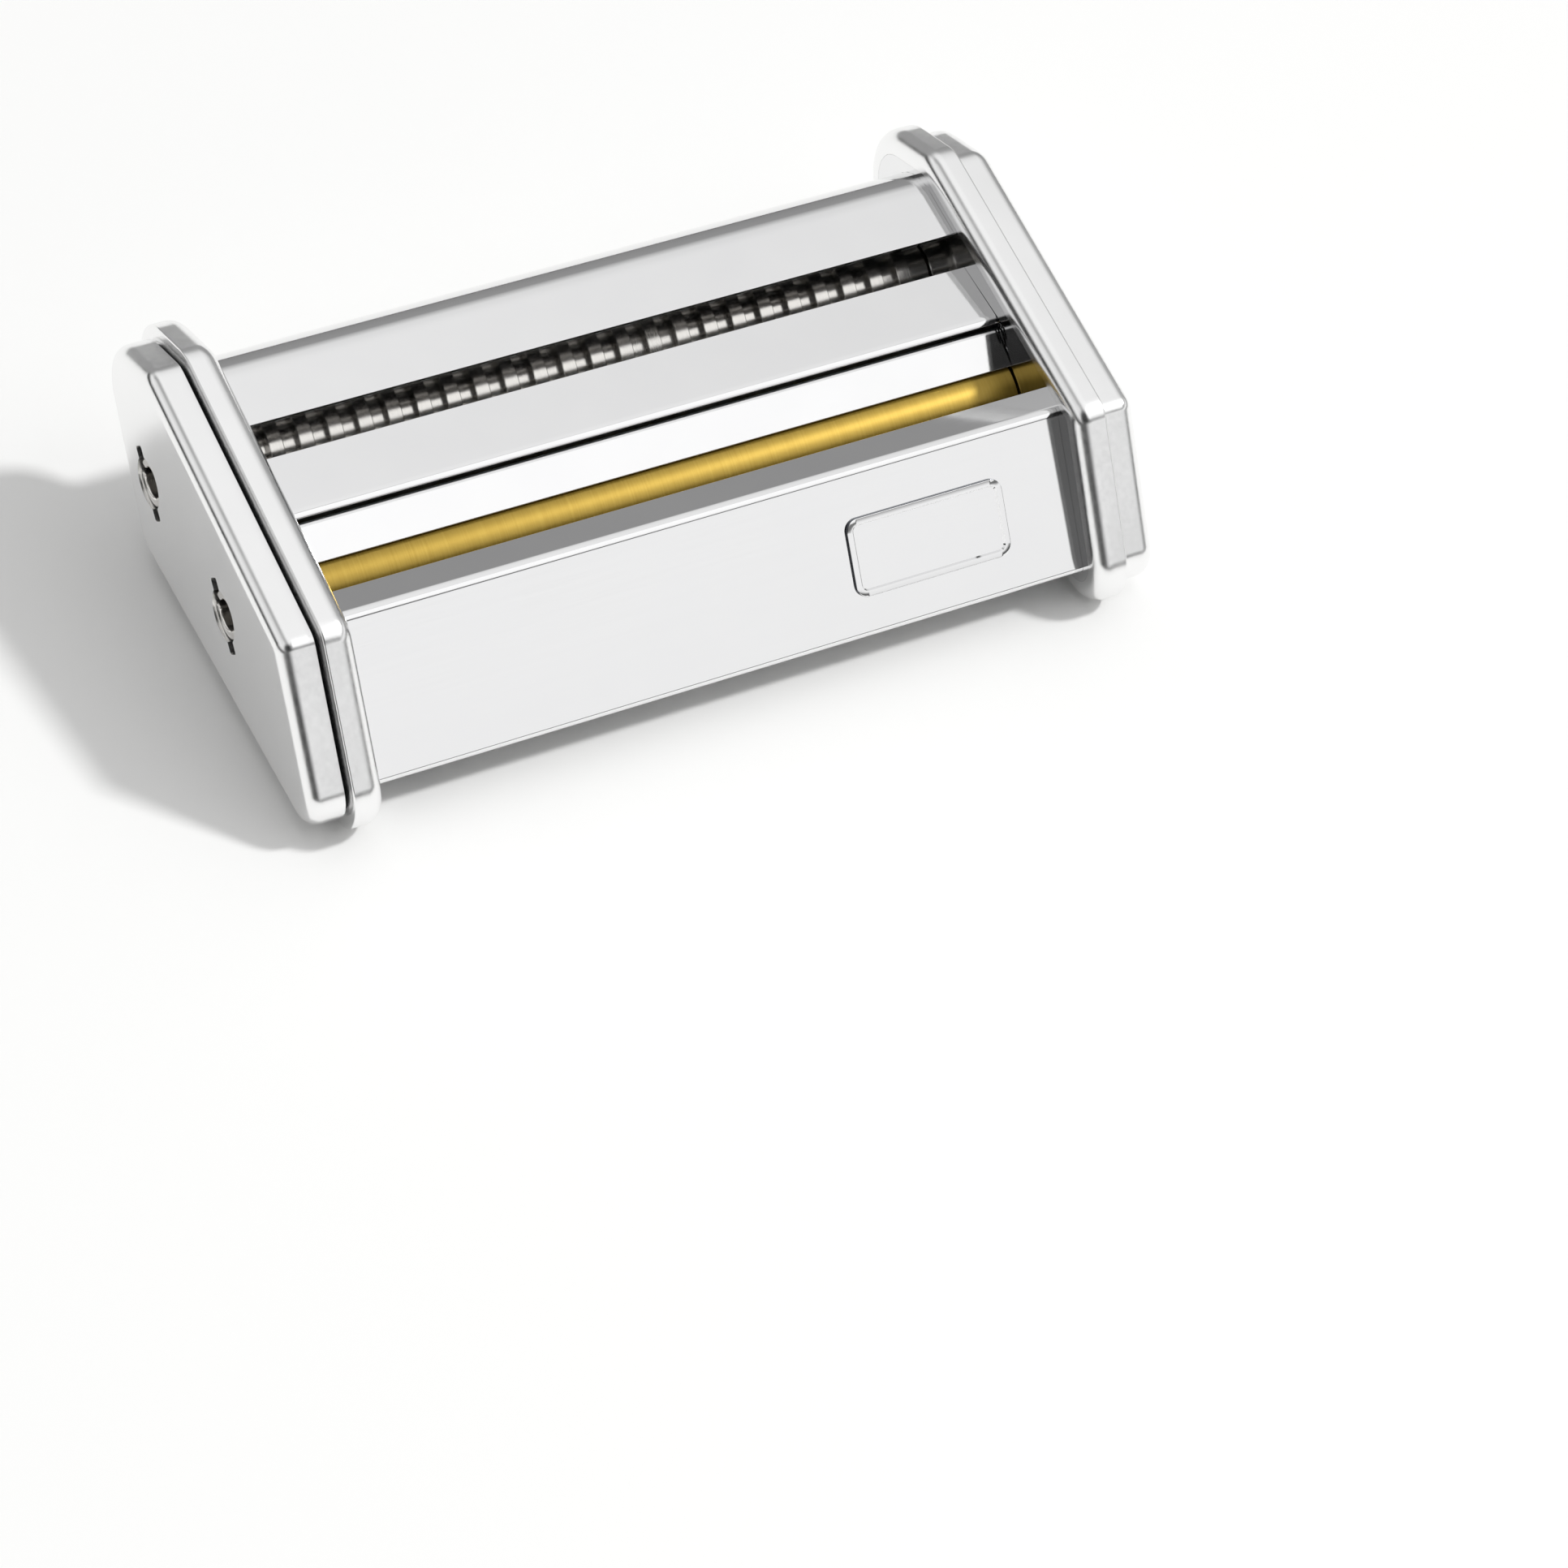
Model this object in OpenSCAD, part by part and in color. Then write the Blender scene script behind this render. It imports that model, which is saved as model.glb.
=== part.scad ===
/* [Case] */
// Length between the side plates, which is the width of a dough sheet
dough_w = 150; // [120:1:220]
// Depth of the end caps along their base
base_d = 85.8; // [85:0.1:95]
// Lean of the front and the back of the case from upright
lean = 34; // [33:0.5:35]
// Height of the front top corner of the end caps above the roller axes
front_h = 16; // [15:0.5:21]
// Height of the back top corner of the end caps above the roller axes
back_h = 16.6; // [15:0.2:21]
// Distance of the crown of the end caps behind the rear crank axis
crown_y = 3; // [0.6:0.1:6.6]
// Height of the crown of the end caps above the roller axes
crown_h = 26; // [25:0.5:31]
// Thickness of the rims round the side plates
rim_t = 6.3; // [5.5:0.1:8]
// Step of the rim outside the end cap
rim_step = 2.5; // [1.5:0.1:4]
// Radius of the rounded inner edge of the rim
rim_round = 3.2; // [2:0.1:4]
// Thickness of the side plates that carry the bushes
plate_t = 2.6; // [2.4:0.1:3]
// Thickness of the end caps
cap_t = 7.8; // [7.8:0.1:10]
// Wall of the end caps
cap_wall = 1.6; // [1.2:0.1:2]
// Radius of the edge round the face of the end caps
cap_round = 2.3; // [1.5:0.1:3]

/* [Covers] */
// Thickness of the sheet metal covers
sheet_t = 0.8; // [0.6:0.1:1]
// Depth to which the sheets enter the grooves of the side plates
groove_d = 1; // [0.8:0.1:1.4]
// Height of the foot of the front panel
panel_foot_h = 5.2; // [4.5:0.1:6]
// Height of the top edge of the front panel above the roller axes
panel_top_h = 13.7; // [12.5:0.1:14.5]
// Distance of the foot of the front panel inside the outline
panel_foot_inset = 4.2; // [4:0.1:4.6]
// Distance of the top of the front panel inside the outline
panel_top_inset = 5.4; // [5:0.1:5.6]
// Depth of the lip along the top of the front panel
panel_lip = 7.9; // [4:0.1:9]
// Drop of that lip towards the slot
panel_lip_drop = 3.2; // [1:0.1:4]
// Depth of the flange under the front panel
panel_flange = 11.5; // [9:0.5:13]
// Height of the middle cover's back edge above the roller axes
middle_h = 16.2; // [15.5:0.1:17]
// Width of the middle cover
middle_w = 17.1; // [15:0.1:18]
// Width of the feed plate below the middle cover
feed_w = 7; // [6:0.1:7.2]
// Depth of the flange along the top of the feed plate
feed_flange = 3.2; // [2:0.1:3.6]
// Slope of the feed plate
feed_slope = 45; // [40:1:50]
// Width of the mouth of the rear slot
rear_mouth = 5.3; // [5:0.1:6]
// Step from the middle cover up to the back cover
rear_step = 4.2; // [3.5:0.1:4.5]
// Distance of the back cover inside the outline at the back
back_inset = 2.4; // [2:0.1:2.5]
// Height of the lower edge of the back cover
back_foot_h = 5; // [3:0.5:8]

/* [Rollers] */
// Height of the roller axes above the foot of the end caps
axis_h = 19; // [18.8:0.1:19.2]
// Distance of the front crank axis behind the front line of the case, at their height
front_axis = 34.58; // [34.2:0.02:35]
// Distance between the two crank axes
crank_pitch = 36; // [35.6:0.1:36.4]
// Radius of the roller journals
journal_r = 4; // [3.8:0.1:4.3]
// Outer radius of the bushes
bush_r = 6; // [5.6:0.1:6.4]
// Radius of the smooth front roller
anvil_r = 8.6; // [8.4:0.05:8.65]
// Radius of the zigzag cutting rings
ring_r = 8.25; // [8.1:0.05:8.3]
// Radius of the sleeves between the cutting rings
sleeve_r = 7.2; // [6.6:0.1:7.4]
// Number of zigzag cutting rings, one more than the strips
ring_count = 4; // [3:1:6]
// Points round each zigzag ring
ring_points = 14; // [8:1:20]
// Swing of the zigzag edge to either side
ring_swing = 1; // [0.5:0.1:1.4]
// Radius of the discs of the noodle cutter
disc_r = 8.8; // [8.4:0.1:8.9]
// Radius of the core between those discs
core_r = 7; // [6.4:0.1:7.1]
// Thickness of each disc
disc_w = 2.9; // [2.5:0.1:2.95]
// Pitch of the discs, which is two noodle widths
disc_pitch = 6.1; // [6:0.05:6.6]

/* [Drive] */
// Module of the gears
gear_module = 1; // [1]
// Teeth on each front gear
front_teeth = 17; // [17]
// Teeth on each rear gear
rear_teeth = 16; // [16]
// Width of the gears
gear_w = 5.6; // [4:0.1:5.8]
// Backlash between meshing teeth
backlash = 0.12; // [0.08:0.01:0.2]
// Bore radius of the crank sockets
socket_bore_r = 3.1; // [3:0.05:3.3]
// Outer radius of the crank sockets
socket_r = 4.8; // [4.5:0.1:4.9]
// Width of the cross slot in the crank sockets
socket_slot = 1.9; // [1.5:0.1:1.9]
// Radius of the crank holes in the left end cap
crank_hole_r = 5.2; // [5.2:0.1:6]
// Length over both notches of a crank hole
crank_notch = 14.7; // [13:0.1:15]
// Width of those notches
crank_notch_w = 2.6; // [2:0.1:3]

/* [Tie rods and rails] */
// Radius of the tie rods
rod_r = 2.5; // [2.2:0.1:2.6]
// Radius of their threaded ends
thread_r = 1.9; // [1.7:0.1:2]
// Width across the corners of the nuts
nut_w = 8.2; // [7:0.1:8.4]
// Distance of the slide rails from the middle of the back
rail_x = 45; // [30:1:60]
// Length of the slide rails
rail_len = 20; // [15:1:24]
// Width of the slide rails
rail_w = 12; // [10:0.5:16]
// Depth of the slide rails behind the back cover
rail_d = 4; // [3:0.1:4.4]

/* [Hidden] */

// Clearance of sheets in their grooves
groove_fit = 0.05;
// Clearance of parts pushed together
push_fit = 0.02;
// Radial clearance of the journals in their bushes
run_fit = 0.04;
// Gap at shoulders that face each other
end_fit = 0.3;
// Largest turn between neighbouring points of an arc
arc_step = 12;
// Steps across a rounded edge
round_steps = 4;
// Overlap between the lengths of a stepped pin
pin_overlap = 0.01;

// Distance of the side plates inside the outline
plate_inset = 2;
// Width of the shoulder behind them
shoulder_w = 0.9;

half_w = dough_w / 2;
wall_x = half_w + plate_t;
rim_x = half_w + rim_t;
cap_x = rim_x + cap_t;

bush_flange_t = 1.2;
bush_flange_r = bush_r + 1.4;
gear_x = wall_x + bush_flange_t + end_fit;
clip_t = 0.8;
clip_r = journal_r + 2;
clip_groove_r = journal_r - 1.2;
clip_slot = 1.3 * clip_groove_r;
shaft_tip = 0.8;
drive_clip_x = gear_x + gear_w + push_fit;
idle_clip_x = gear_x;
flat_h = 0.7 * journal_r;
spigot_r = journal_r - 0.4;
spigot_len = 2.5;
socket_x = cap_x - 0.6;
socket_slot_d = 5;

// Places of the four axes, which keep to the lean of the case
front_pitch = gear_module * front_teeth;
rear_pitch = gear_module * rear_teeth;
front_drive_y = axis_h * tan(lean) + front_axis;
front_cutter_y = front_drive_y - front_pitch;
rear_drive_y = front_drive_y + crank_pitch;
rear_idle_y = rear_drive_y - rear_pitch;

// Corner radii of the end caps: front foot, front top, crown, back top, back foot
corner_r = [6.8, 3.5, 6, 10.5, 8];
front_top_z = axis_h + front_h;
back_top_z = axis_h + back_h;
crown = [rear_drive_y + crown_y, axis_h + crown_h];
corner_at = [
  [0, 0],
  [front_top_z * tan(lean), front_top_z],
  crown,
  [base_d + back_top_z * tan(lean), back_top_z],
  [base_d, 0]
];

function unit(v) = v / norm(v);
function left(v) = [-v[1], v[0]];
function turned(v, a) = [v[0] * cos(a) - v[1] * sin(a), v[0] * sin(a) + v[1] * cos(a)];
function flat(lists) = [for (l = lists) for (p = l) p];

// Points of the arc of radius r that rounds corner b between a and c
function bend(a, b, c, r) =
  let (
    u = unit(b - a),
    v = unit(c - b),
    turn = acos(max(-1, min(1, u * v))),
    side = sign(cross(u, v)),
    start = b - u * r * tan(turn / 2),
    centre = start + side * r * left(u),
    count = ceil(turn / arc_step)
  )
  [for (k = [0:count]) centre - side * r * turned(left(u), side * turn * k / count)];

// An open path through corners given as [y, z, bend radius]
function bent(corners) =
  let (last = len(corners) - 1, at = [for (c = corners) [c[0], c[1]]])
  concat(
    [at[0]],
    flat([for (i = [1:1:last - 1]) bend(at[i - 1], at[i], at[i + 1], corners[i][2])]),
    [at[last]]
  );

// That path moved sideways, positive to its left
function shifted(path, by) =
  let (last = len(path) - 1)
  [for (i = [0:last]) let (
    u = unit(path[min(i + 1, last)] - path[min(i, last - 1)]),
    v = unit(path[max(i, 1)] - path[max(i - 1, 0)]),
    n = unit(left(u) + left(v))
  ) path[i] + n * by / (n * left(u))];

function reversed(path) = [for (i = [len(path) - 1:-1:0]) path[i]];
function strip(path, outer, inner) = concat(shifted(path, outer), reversed(shifted(path, inner)));

function outline_centre(i) =
  let (
    b = corner_at[i],
    u = unit(b - corner_at[(i + 4) % 5]),
    v = unit(corner_at[(i + 1) % 5] - b)
  )
  b + corner_r[i] / sin(acos(-(u * v)) / 2) * unit(v - u);
function outline_normal(i) = left(unit(corner_at[(i + 1) % 5] - corner_at[i]));

// Outline of the end caps, moved outwards by grow
function outline(grow) = flat([for (i = [0:4]) let (
  from = outline_normal((i + 4) % 5),
  turn = acos(from * outline_normal(i)),
  count = ceil(turn / arc_step)
) [for (k = [0:count]) outline_centre(i) + (corner_r[i] + grow) * turned(from, -turn * k / count)]]);

// The case stands on its rims, centred on its box
foot_y = outline_centre(0)[0] - corner_r[0];
tail_y = outline_centre(3)[0] + corner_r[3];
case_y = -(foot_y + tail_y) / 2;
case_z = rim_step;

// Lines parallel to the front and to the back, set inside the outline
function front_y(inset, z) = z * tan(lean) + inset / cos(lean);
function back_y(inset, z) = base_d + z * tan(lean) - inset / cos(lean);

panel_top_z = axis_h + panel_top_h;
middle_z = axis_h + middle_h;
feed_dir = [cos(feed_slope), sin(feed_slope)];
// Fall of the middle cover from its back edge to its front bend, and its length below that bend
middle_fall = 0.8;
middle_tail = 2.4;
// Place of the feed plate's top under that bend, in sheet thicknesses
feed_top_at = [0.35, -1.35];
// Place of the back cover's crown from the crown of the end caps
cover_crown_at = [4.9, -2.8];
// Height of the bend below it, where the cover meets the lean of the back, above the roller axes
cover_back_rise = 6.9;
// Radii of those two bends
crown_bend = 12;
back_bend = 4;
middle_front = [rear_idle_y - middle_w, middle_z - middle_fall];
cover_front = [rear_idle_y + rear_mouth, middle_z + rear_step];
cover_crown = crown + cover_crown_at;
cover_back_z = axis_h + cover_back_rise;
cover_back = [back_y(back_inset, cover_back_z), cover_back_z];
feed_top = middle_front + sheet_t * feed_top_at;

panel_path = bent([
  [front_y(panel_foot_inset, panel_foot_h) + panel_flange, panel_foot_h],
  [front_y(panel_foot_inset, panel_foot_h), panel_foot_h, 1.2],
  [front_y(panel_top_inset, panel_top_z), panel_top_z, 1.5],
  [front_y(panel_top_inset, panel_top_z) + panel_lip, panel_top_z - panel_lip_drop]
]);
feed_path = bent([
  concat(feed_top - feed_w * feed_dir, 0),
  concat(feed_top, 1.5),
  [feed_top[0] + feed_flange, feed_top[1]]
]);
middle_path = bent([
  concat(middle_front - middle_tail * feed_dir, 0),
  concat(middle_front, 2.3),
  [rear_idle_y, middle_z]
]);
back_path = bent([
  concat(cover_front, 0),
  concat(cover_crown, crown_bend),
  concat(cover_back, back_bend),
  [back_y(back_inset, back_foot_h), back_foot_h]
]);

bar_w = 8;
bar_t = 2.5;
bar_y = front_y(panel_foot_inset, panel_foot_h) + 3.5;
bar_z = panel_foot_h + sheet_t;
panel_screw_inset = 10;
panel_screw_x = half_w - panel_screw_inset;
panel_screw_y = bar_y + bar_w / 2;
screw_r = 1.25;
screw_head_r = 2.4;
screw_head_t = 1.6;
screw_len = 3;

// Tie rods: above and below the gap between the pairs, and under the back cover
rod_gap = (front_drive_y + rear_idle_y) / 2;
top_rod_ahead = 0.4;
top_rod_rise = 11.5;
back_rod_behind = 8.6;
back_rod_rise = 11;
low_rod_z = 6.5;
rod_at = [
  [rod_gap - top_rod_ahead, axis_h + top_rod_rise],
  [rear_drive_y + back_rod_behind, axis_h + back_rod_rise],
  [rod_gap, low_rod_z]
];
nut_t = 3.2;
boss_r = 3.2;
boss_x = wall_x + nut_t + end_fit;
rod_tip_x = boss_x + 3.5;

// Scrapers and combs, each from its tip at a roller down to its foot
comb_t = 1.2;
comb_gap = 0.25;
comb_angle = 50;
comb_slope = 60;
comb_len = 9;
drive_scraper_len = 7;
cutter_scraper_len = 8;
slot_fit = 0.4;

disc_count = floor((dough_w - 3) / disc_pitch);
function disc_x(i, side) = (i - (disc_count - 1) / 2 + side / 4) * disc_pitch;
ring_margin = 4;
function ring_x(i) = (i - (ring_count - 1) / 2) * (dough_w - 2 * ring_margin) / (ring_count - 1);
ring_blade = 0.9;
ring_hub = 2 * ring_swing + ring_blade + 1.2;
ring_bore_r = 5;
sleeve_end = half_w - end_fit;

rivet_r = 1.2;
rivet_head_r = 2.1;
rivet_head_t = 0.9;
rivet_sink = 0.6;
rail_t = 1.5;
rail_z = 9;

// Carries a flat shape in the case's section from x0 to x1
module prism(x0, x1) {
  translate([x0, case_y, case_z]) rotate([90, 0, 90]) linear_extrude(x1 - x0) children();
}

// Puts a shape made along +Z onto a roller axis, along +X
module on_axis(y) {
  translate([0, case_y + y, case_z + axis_h]) rotate([0, 90, 0]) children();
}

module both_sides() {
  children();
  mirror([1, 0, 0]) children();
}

// Points of the outline at each level [x, grow] of a profile
function outline_rings(profile) =
  flat([for (p = profile) [for (q = outline(p[1])) [p[0], case_y + q[0], case_z + q[1]]]]);

// Face between point i of one ring and the same point of another
function ring_face(here, next, i, around) =
  let (step = (i + 1) % around)
  [here * around + i, here * around + step, next * around + step, next * around + i];

// Stacks the outline through the levels of a profile, with a flat face at each end
module stacked_outline(profile) {
  around = len(outline(0));
  last = len(profile) - 1;
  polyhedron(outline_rings(profile), concat(
    [for (j = [0:last - 1]) for (i = [0:around - 1]) ring_face(j, j + 1, i, around)],
    [[for (i = [around - 1:-1:0]) i], [for (i = [0:around - 1]) last * around + i]]
  ));
}

module comb_strip(axis, r, side, len, fit = 0) {
  tip = [axis, axis_h] + (r + comb_gap) * [side * cos(comb_angle), -sin(comb_angle)];
  run = [-side * cos(comb_slope), -sin(comb_slope)];
  across = side * left(run);
  polygon([
    tip - fit * across,
    tip + len * run + fit * (run - across),
    tip + len * run + fit * (run + across) + comb_t * across,
    tip + (comb_t + fit) * across
  ]);
}

module drive_scraper_section(fit = 0) { comb_strip(front_drive_y, anvil_r, -1, drive_scraper_len, fit); }
module cutter_scraper_section(fit = 0) { comb_strip(front_cutter_y, sleeve_r, 1, cutter_scraper_len, fit); }
module drive_comb_section(fit = 0) { comb_strip(rear_drive_y, core_r, -1, comb_len, fit); }
module idle_comb_section(fit = 0) { comb_strip(rear_idle_y, core_r, 1, comb_len, fit); }
module bar_section(fit = 0) {
  translate([bar_y - fit, bar_z - fit]) square([bar_w + 2 * fit, bar_t + 2 * fit]);
}

// Every sheet and bar that the side plates hold in a groove
module held_sections() {
  for (path = [panel_path, feed_path, middle_path, back_path])
    polygon(strip(path, groove_fit, -sheet_t - groove_fit));
  drive_scraper_section(groove_fit);
  cutter_scraper_section(groove_fit);
  drive_comb_section(groove_fit);
  idle_comb_section(groove_fit);
  bar_section(groove_fit);
}

// Sweeps a closed profile of [x, grow] points round the outline
module swept_ring(profile) {
  around = len(outline(0));
  count = len(profile);
  quads = [for (j = [0:count - 1]) for (i = [0:around - 1]) ring_face(j, (j + 1) % count, i, around)];
  polyhedron(outline_rings(profile), flat([for (q = quads) [[q[0], q[1], q[2]], [q[0], q[2], q[3]]]]));
}

// Ring round each side plate, with a shoulder that the plate lies against
module rim() {
  swept_ring(concat(
    [for (k = [0:round_steps]) let (a = 90 * k / round_steps)
      [half_w + rim_round * (1 - sin(a)), rim_step - rim_round * (1 - cos(a))]],
    [
      [half_w, -plate_inset],
      [wall_x, -plate_inset],
      [wall_x, -plate_inset - shoulder_w],
      [rim_x, -plate_inset - shoulder_w],
      [rim_x, rim_step]
    ]
  ));
}
module left_rim() { color("silver") mirror([1, 0, 0]) rim(); }
module right_rim() { color("silver") rim(); }

module side_plate() {
  difference() {
    prism(half_w, wall_x) polygon(outline(-plate_inset - push_fit));
    prism(half_w - 1, half_w + groove_d) held_sections();
    for (y = [front_drive_y, front_cutter_y, rear_drive_y, rear_idle_y])
      on_axis(y) translate([0, 0, half_w - 1]) cylinder(r = bush_r + push_fit, h = plate_t + 2, $fn = 64);
    for (p = rod_at)
      prism(half_w - 1, wall_x + 1) translate(p) circle(r = thread_r + push_fit, $fn = 32);
  }
}
module left_side_plate() { color("lightgray") mirror([1, 0, 0]) side_plate(); }
module right_side_plate() { color("lightgray") side_plate(); }

// Hollow cap on the rim, with bosses that push onto the ends of the tie rods
module end_cap() {
  difference() {
    stacked_outline(concat(
      [[rim_x, 0]],
      [for (k = [0:round_steps]) let (a = 90 * k / round_steps)
        [cap_x - cap_round * (1 - sin(a)), -cap_round * (1 - cos(a))]]
    ));
    prism(rim_x - 1, cap_x - cap_wall) polygon(outline(-cap_wall));
  }
  for (p = rod_at)
    prism(boss_x, cap_x - cap_wall / 2) translate(p) difference() {
      circle(r = boss_r, $fn = 32);
      circle(r = thread_r + push_fit, $fn = 32);
    }
}
module crank_hole(y) {
  prism(cap_x - cap_wall - 1, cap_x + 1) translate([y, axis_h]) {
    circle(r = crank_hole_r, $fn = 64);
    rotate(45) square([crank_notch, crank_notch_w], center = true);
  }
}
module left_end_cap() {
  color("silver") mirror([1, 0, 0]) difference() {
    end_cap();
    crank_hole(front_drive_y);
    crank_hole(rear_drive_y);
  }
}
module right_end_cap() { color("silver") end_cap(); }

module cover(path) {
  prism(-half_w - groove_d, half_w + groove_d) polygon(strip(path, 0, -sheet_t));
}
module at_panel_screws(z) {
  for (x = [-panel_screw_x, panel_screw_x])
    translate([x, case_y + panel_screw_y, case_z + z]) children();
}
module panel_screw_holes(z, h) {
  at_panel_screws(z) cylinder(r = screw_r + push_fit, h = h, $fn = 32);
}
module front_panel() {
  color("gainsboro") difference() {
    cover(panel_path);
    panel_screw_holes(-case_z, case_z + bar_z);
  }
}
module feed_plate() { color("gainsboro") cover(feed_path); }
module middle_cover() { color("gainsboro") cover(middle_path); }

// Stands a shape on the back cover: X across, Y up the slope, Z outwards
module on_back(x, up) {
  translate([x, case_y + back_y(back_inset, rail_z), case_z + rail_z])
    rotate([90 - lean, 0, 0]) mirror([0, 0, 1]) translate([0, up, 0]) children();
}
module at_rivets() {
  for (x = [-rail_x, rail_x])
    for (up = [rail_len / 4, 3 * rail_len / 4])
      on_back(x, up) children();
}
// Countersunk end of a rivet, flush with the inside of the cover
module rivet_cone(fit = 0) {
  cylinder(r1 = rivet_r + rivet_sink + fit, r2 = rivet_r + fit, h = rivet_sink, $fn = 32);
}
module back_cover() {
  color("gainsboro") difference() {
    cover(back_path);
    at_rivets() {
      translate([0, 0, -sheet_t - 1]) cylinder(r = rivet_r + push_fit, h = sheet_t + 2, $fn = 32);
      translate([0, 0, -sheet_t]) rivet_cone(push_fit);
    }
  }
}
// Channels with inturned lips that slide over the hooks of the machine
module slide_rails() {
  color("silver") difference() {
    for (x = [-rail_x, rail_x]) on_back(x, 0) difference() {
      translate([-rail_w / 2, 0, 0]) cube([rail_w, rail_len, rail_d]);
      translate([-rail_w / 2 + rail_t, -1, rail_t])
        cube([rail_w - 2 * rail_t, rail_len + 2, rail_d - 2 * rail_t]);
      translate([-rail_w / 4, -1, rail_t]) cube([rail_w / 2, rail_len + 2, rail_d]);
    }
    at_rivets() translate([0, 0, -1]) cylinder(r = rivet_r + push_fit, h = rail_t + 2, $fn = 32);
  }
}
module rail_rivets() {
  color("silver") at_rivets() {
    translate([0, 0, -sheet_t]) rivet_cone();
    translate([0, 0, -sheet_t]) cylinder(r = rivet_r, h = sheet_t + rail_t + pin_overlap, $fn = 32);
    translate([0, 0, rail_t]) cylinder(r = rivet_head_r, h = rivet_head_t, $fn = 32);
  }
}

module front_tie_bar() {
  color("silver") difference() {
    prism(-half_w - groove_d, half_w + groove_d) bar_section();
    panel_screw_holes(bar_z - 1, bar_t + 2);
  }
}
module panel_screws() {
  color("silver") at_panel_screws(panel_foot_h) {
    translate([0, 0, -screw_head_t]) cylinder(r = screw_head_r, h = screw_head_t, $fn = 32);
    translate([0, 0, -pin_overlap]) cylinder(r = screw_r, h = screw_len + pin_overlap, $fn = 32);
  }
}
module tie_rods() {
  color("silver") for (p = rod_at) {
    prism(-half_w, half_w) translate(p) circle(r = rod_r, $fn = 32);
    prism(-rod_tip_x, rod_tip_x) translate(p) circle(r = thread_r, $fn = 32);
  }
}
module tie_nuts() {
  color("silver") both_sides() for (p = rod_at)
    prism(wall_x, wall_x + nut_t) translate(p) difference() {
      circle(d = nut_w, $fn = 6);
      circle(r = thread_r + push_fit, $fn = 32);
    }
}

module bush(y) {
  on_axis(y) difference() {
    union() {
      translate([0, 0, half_w]) cylinder(r = bush_r, h = plate_t + bush_flange_t, $fn = 64);
      translate([0, 0, wall_x]) cylinder(r = bush_flange_r, h = bush_flange_t, $fn = 64);
    }
    translate([0, 0, half_w - 1])
      cylinder(r = journal_r + run_fit, h = plate_t + bush_flange_t + 2, $fn = 64);
  }
}
module left_front_drive_bush() { color("white") mirror([1, 0, 0]) bush(front_drive_y); }
module left_front_cutter_bush() { color("white") mirror([1, 0, 0]) bush(front_cutter_y); }
module left_rear_drive_bush() { color("white") mirror([1, 0, 0]) bush(rear_drive_y); }
module left_rear_idle_bush() { color("white") mirror([1, 0, 0]) bush(rear_idle_y); }
module right_front_drive_bush() { color("white") bush(front_drive_y); }
module right_front_cutter_bush() { color("white") bush(front_cutter_y); }
module right_rear_drive_bush() { color("white") bush(rear_drive_y); }
module right_rear_idle_bush() { color("white") bush(rear_idle_y); }

module held_bar() { prism(-half_w - groove_d, half_w + groove_d) children(); }
module front_drive_scraper() { color("silver") held_bar() drive_scraper_section(); }
// Slotted for the zigzag rings
module front_cutter_scraper() {
  color("silver") difference() {
    held_bar() cutter_scraper_section();
    for (i = [0:ring_count - 1])
      on_axis(front_cutter_y) translate([0, 0, ring_x(i) - ring_hub / 2 - slot_fit])
        cylinder(r = ring_r + slot_fit, h = ring_hub + 2 * slot_fit, $fn = 64);
  }
}
// Combs whose fingers lie in the grooves between the discs
module disc_slots(axis, side) {
  for (i = [0:disc_count - 1])
    on_axis(axis) translate([0, 0, disc_x(i, side) - disc_w / 2 - slot_fit / 2])
      cylinder(r = disc_r + slot_fit, h = disc_w + slot_fit, $fn = 64);
}
module rear_drive_comb() {
  color("silver") difference() {
    held_bar() drive_comb_section();
    disc_slots(rear_drive_y, -1);
  }
}
module rear_idle_comb() {
  color("silver") difference() {
    held_bar() idle_comb_section();
    disc_slots(rear_idle_y, 1);
  }
}

// Half profiles of the ends of the shafts, as [radius, x] from the body outwards
function clipped_end(clip_x) = [
  [journal_r, clip_x],
  [clip_groove_r, clip_x],
  [clip_groove_r, clip_x + clip_t + push_fit],
  [journal_r, clip_x + clip_t + push_fit],
  [journal_r, clip_x + clip_t + shaft_tip],
  [0, clip_x + clip_t + shaft_tip]
];
socket_end = [
  [journal_r, gear_x - push_fit],
  [spigot_r, gear_x - push_fit],
  [spigot_r, gear_x + spigot_len],
  [0, gear_x + spigot_len]
];
function left_side(profile) = reversed([for (p = profile) [p[0], -p[1]]]);

// A turned piece with journals: left end, body and right end as [radius, x]
module turned_piece(left_end, body, right_end) {
  on_axis(0) rotate_extrude($fn = 96) polygon(concat(
    left_side(left_end),
    [[journal_r, -sleeve_end]],
    body,
    [[journal_r, sleeve_end]],
    right_end
  ));
}
// Flat on the right end that turns the gear
module drive_flat() {
  translate([gear_x - push_fit, case_y - journal_r, case_z + axis_h + flat_h])
    cube([gear_w + 4, 2 * journal_r, journal_r]);
}
module shaft(y, left_end, body) {
  translate([0, y, 0]) difference() {
    turned_piece(left_end, body, clipped_end(drive_clip_x));
    drive_flat();
  }
}
core_body = [[ring_bore_r - push_fit, -sleeve_end], [ring_bore_r - push_fit, sleeve_end]];
function disc_body(side) = concat(
  [[core_r, -sleeve_end]],
  flat([for (i = [0:disc_count - 1]) let (x = disc_x(i, side)) [
    [core_r, x - disc_w / 2],
    [disc_r, x - disc_w / 2],
    [disc_r, x + disc_w / 2],
    [core_r, x + disc_w / 2]
  ]]),
  [[core_r, sleeve_end]]
);
module front_drive_shaft() { color("dimgray") shaft(front_drive_y, socket_end, core_body); }
module front_cutter_shaft() { color("dimgray") shaft(front_cutter_y, clipped_end(idle_clip_x), core_body); }
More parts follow.
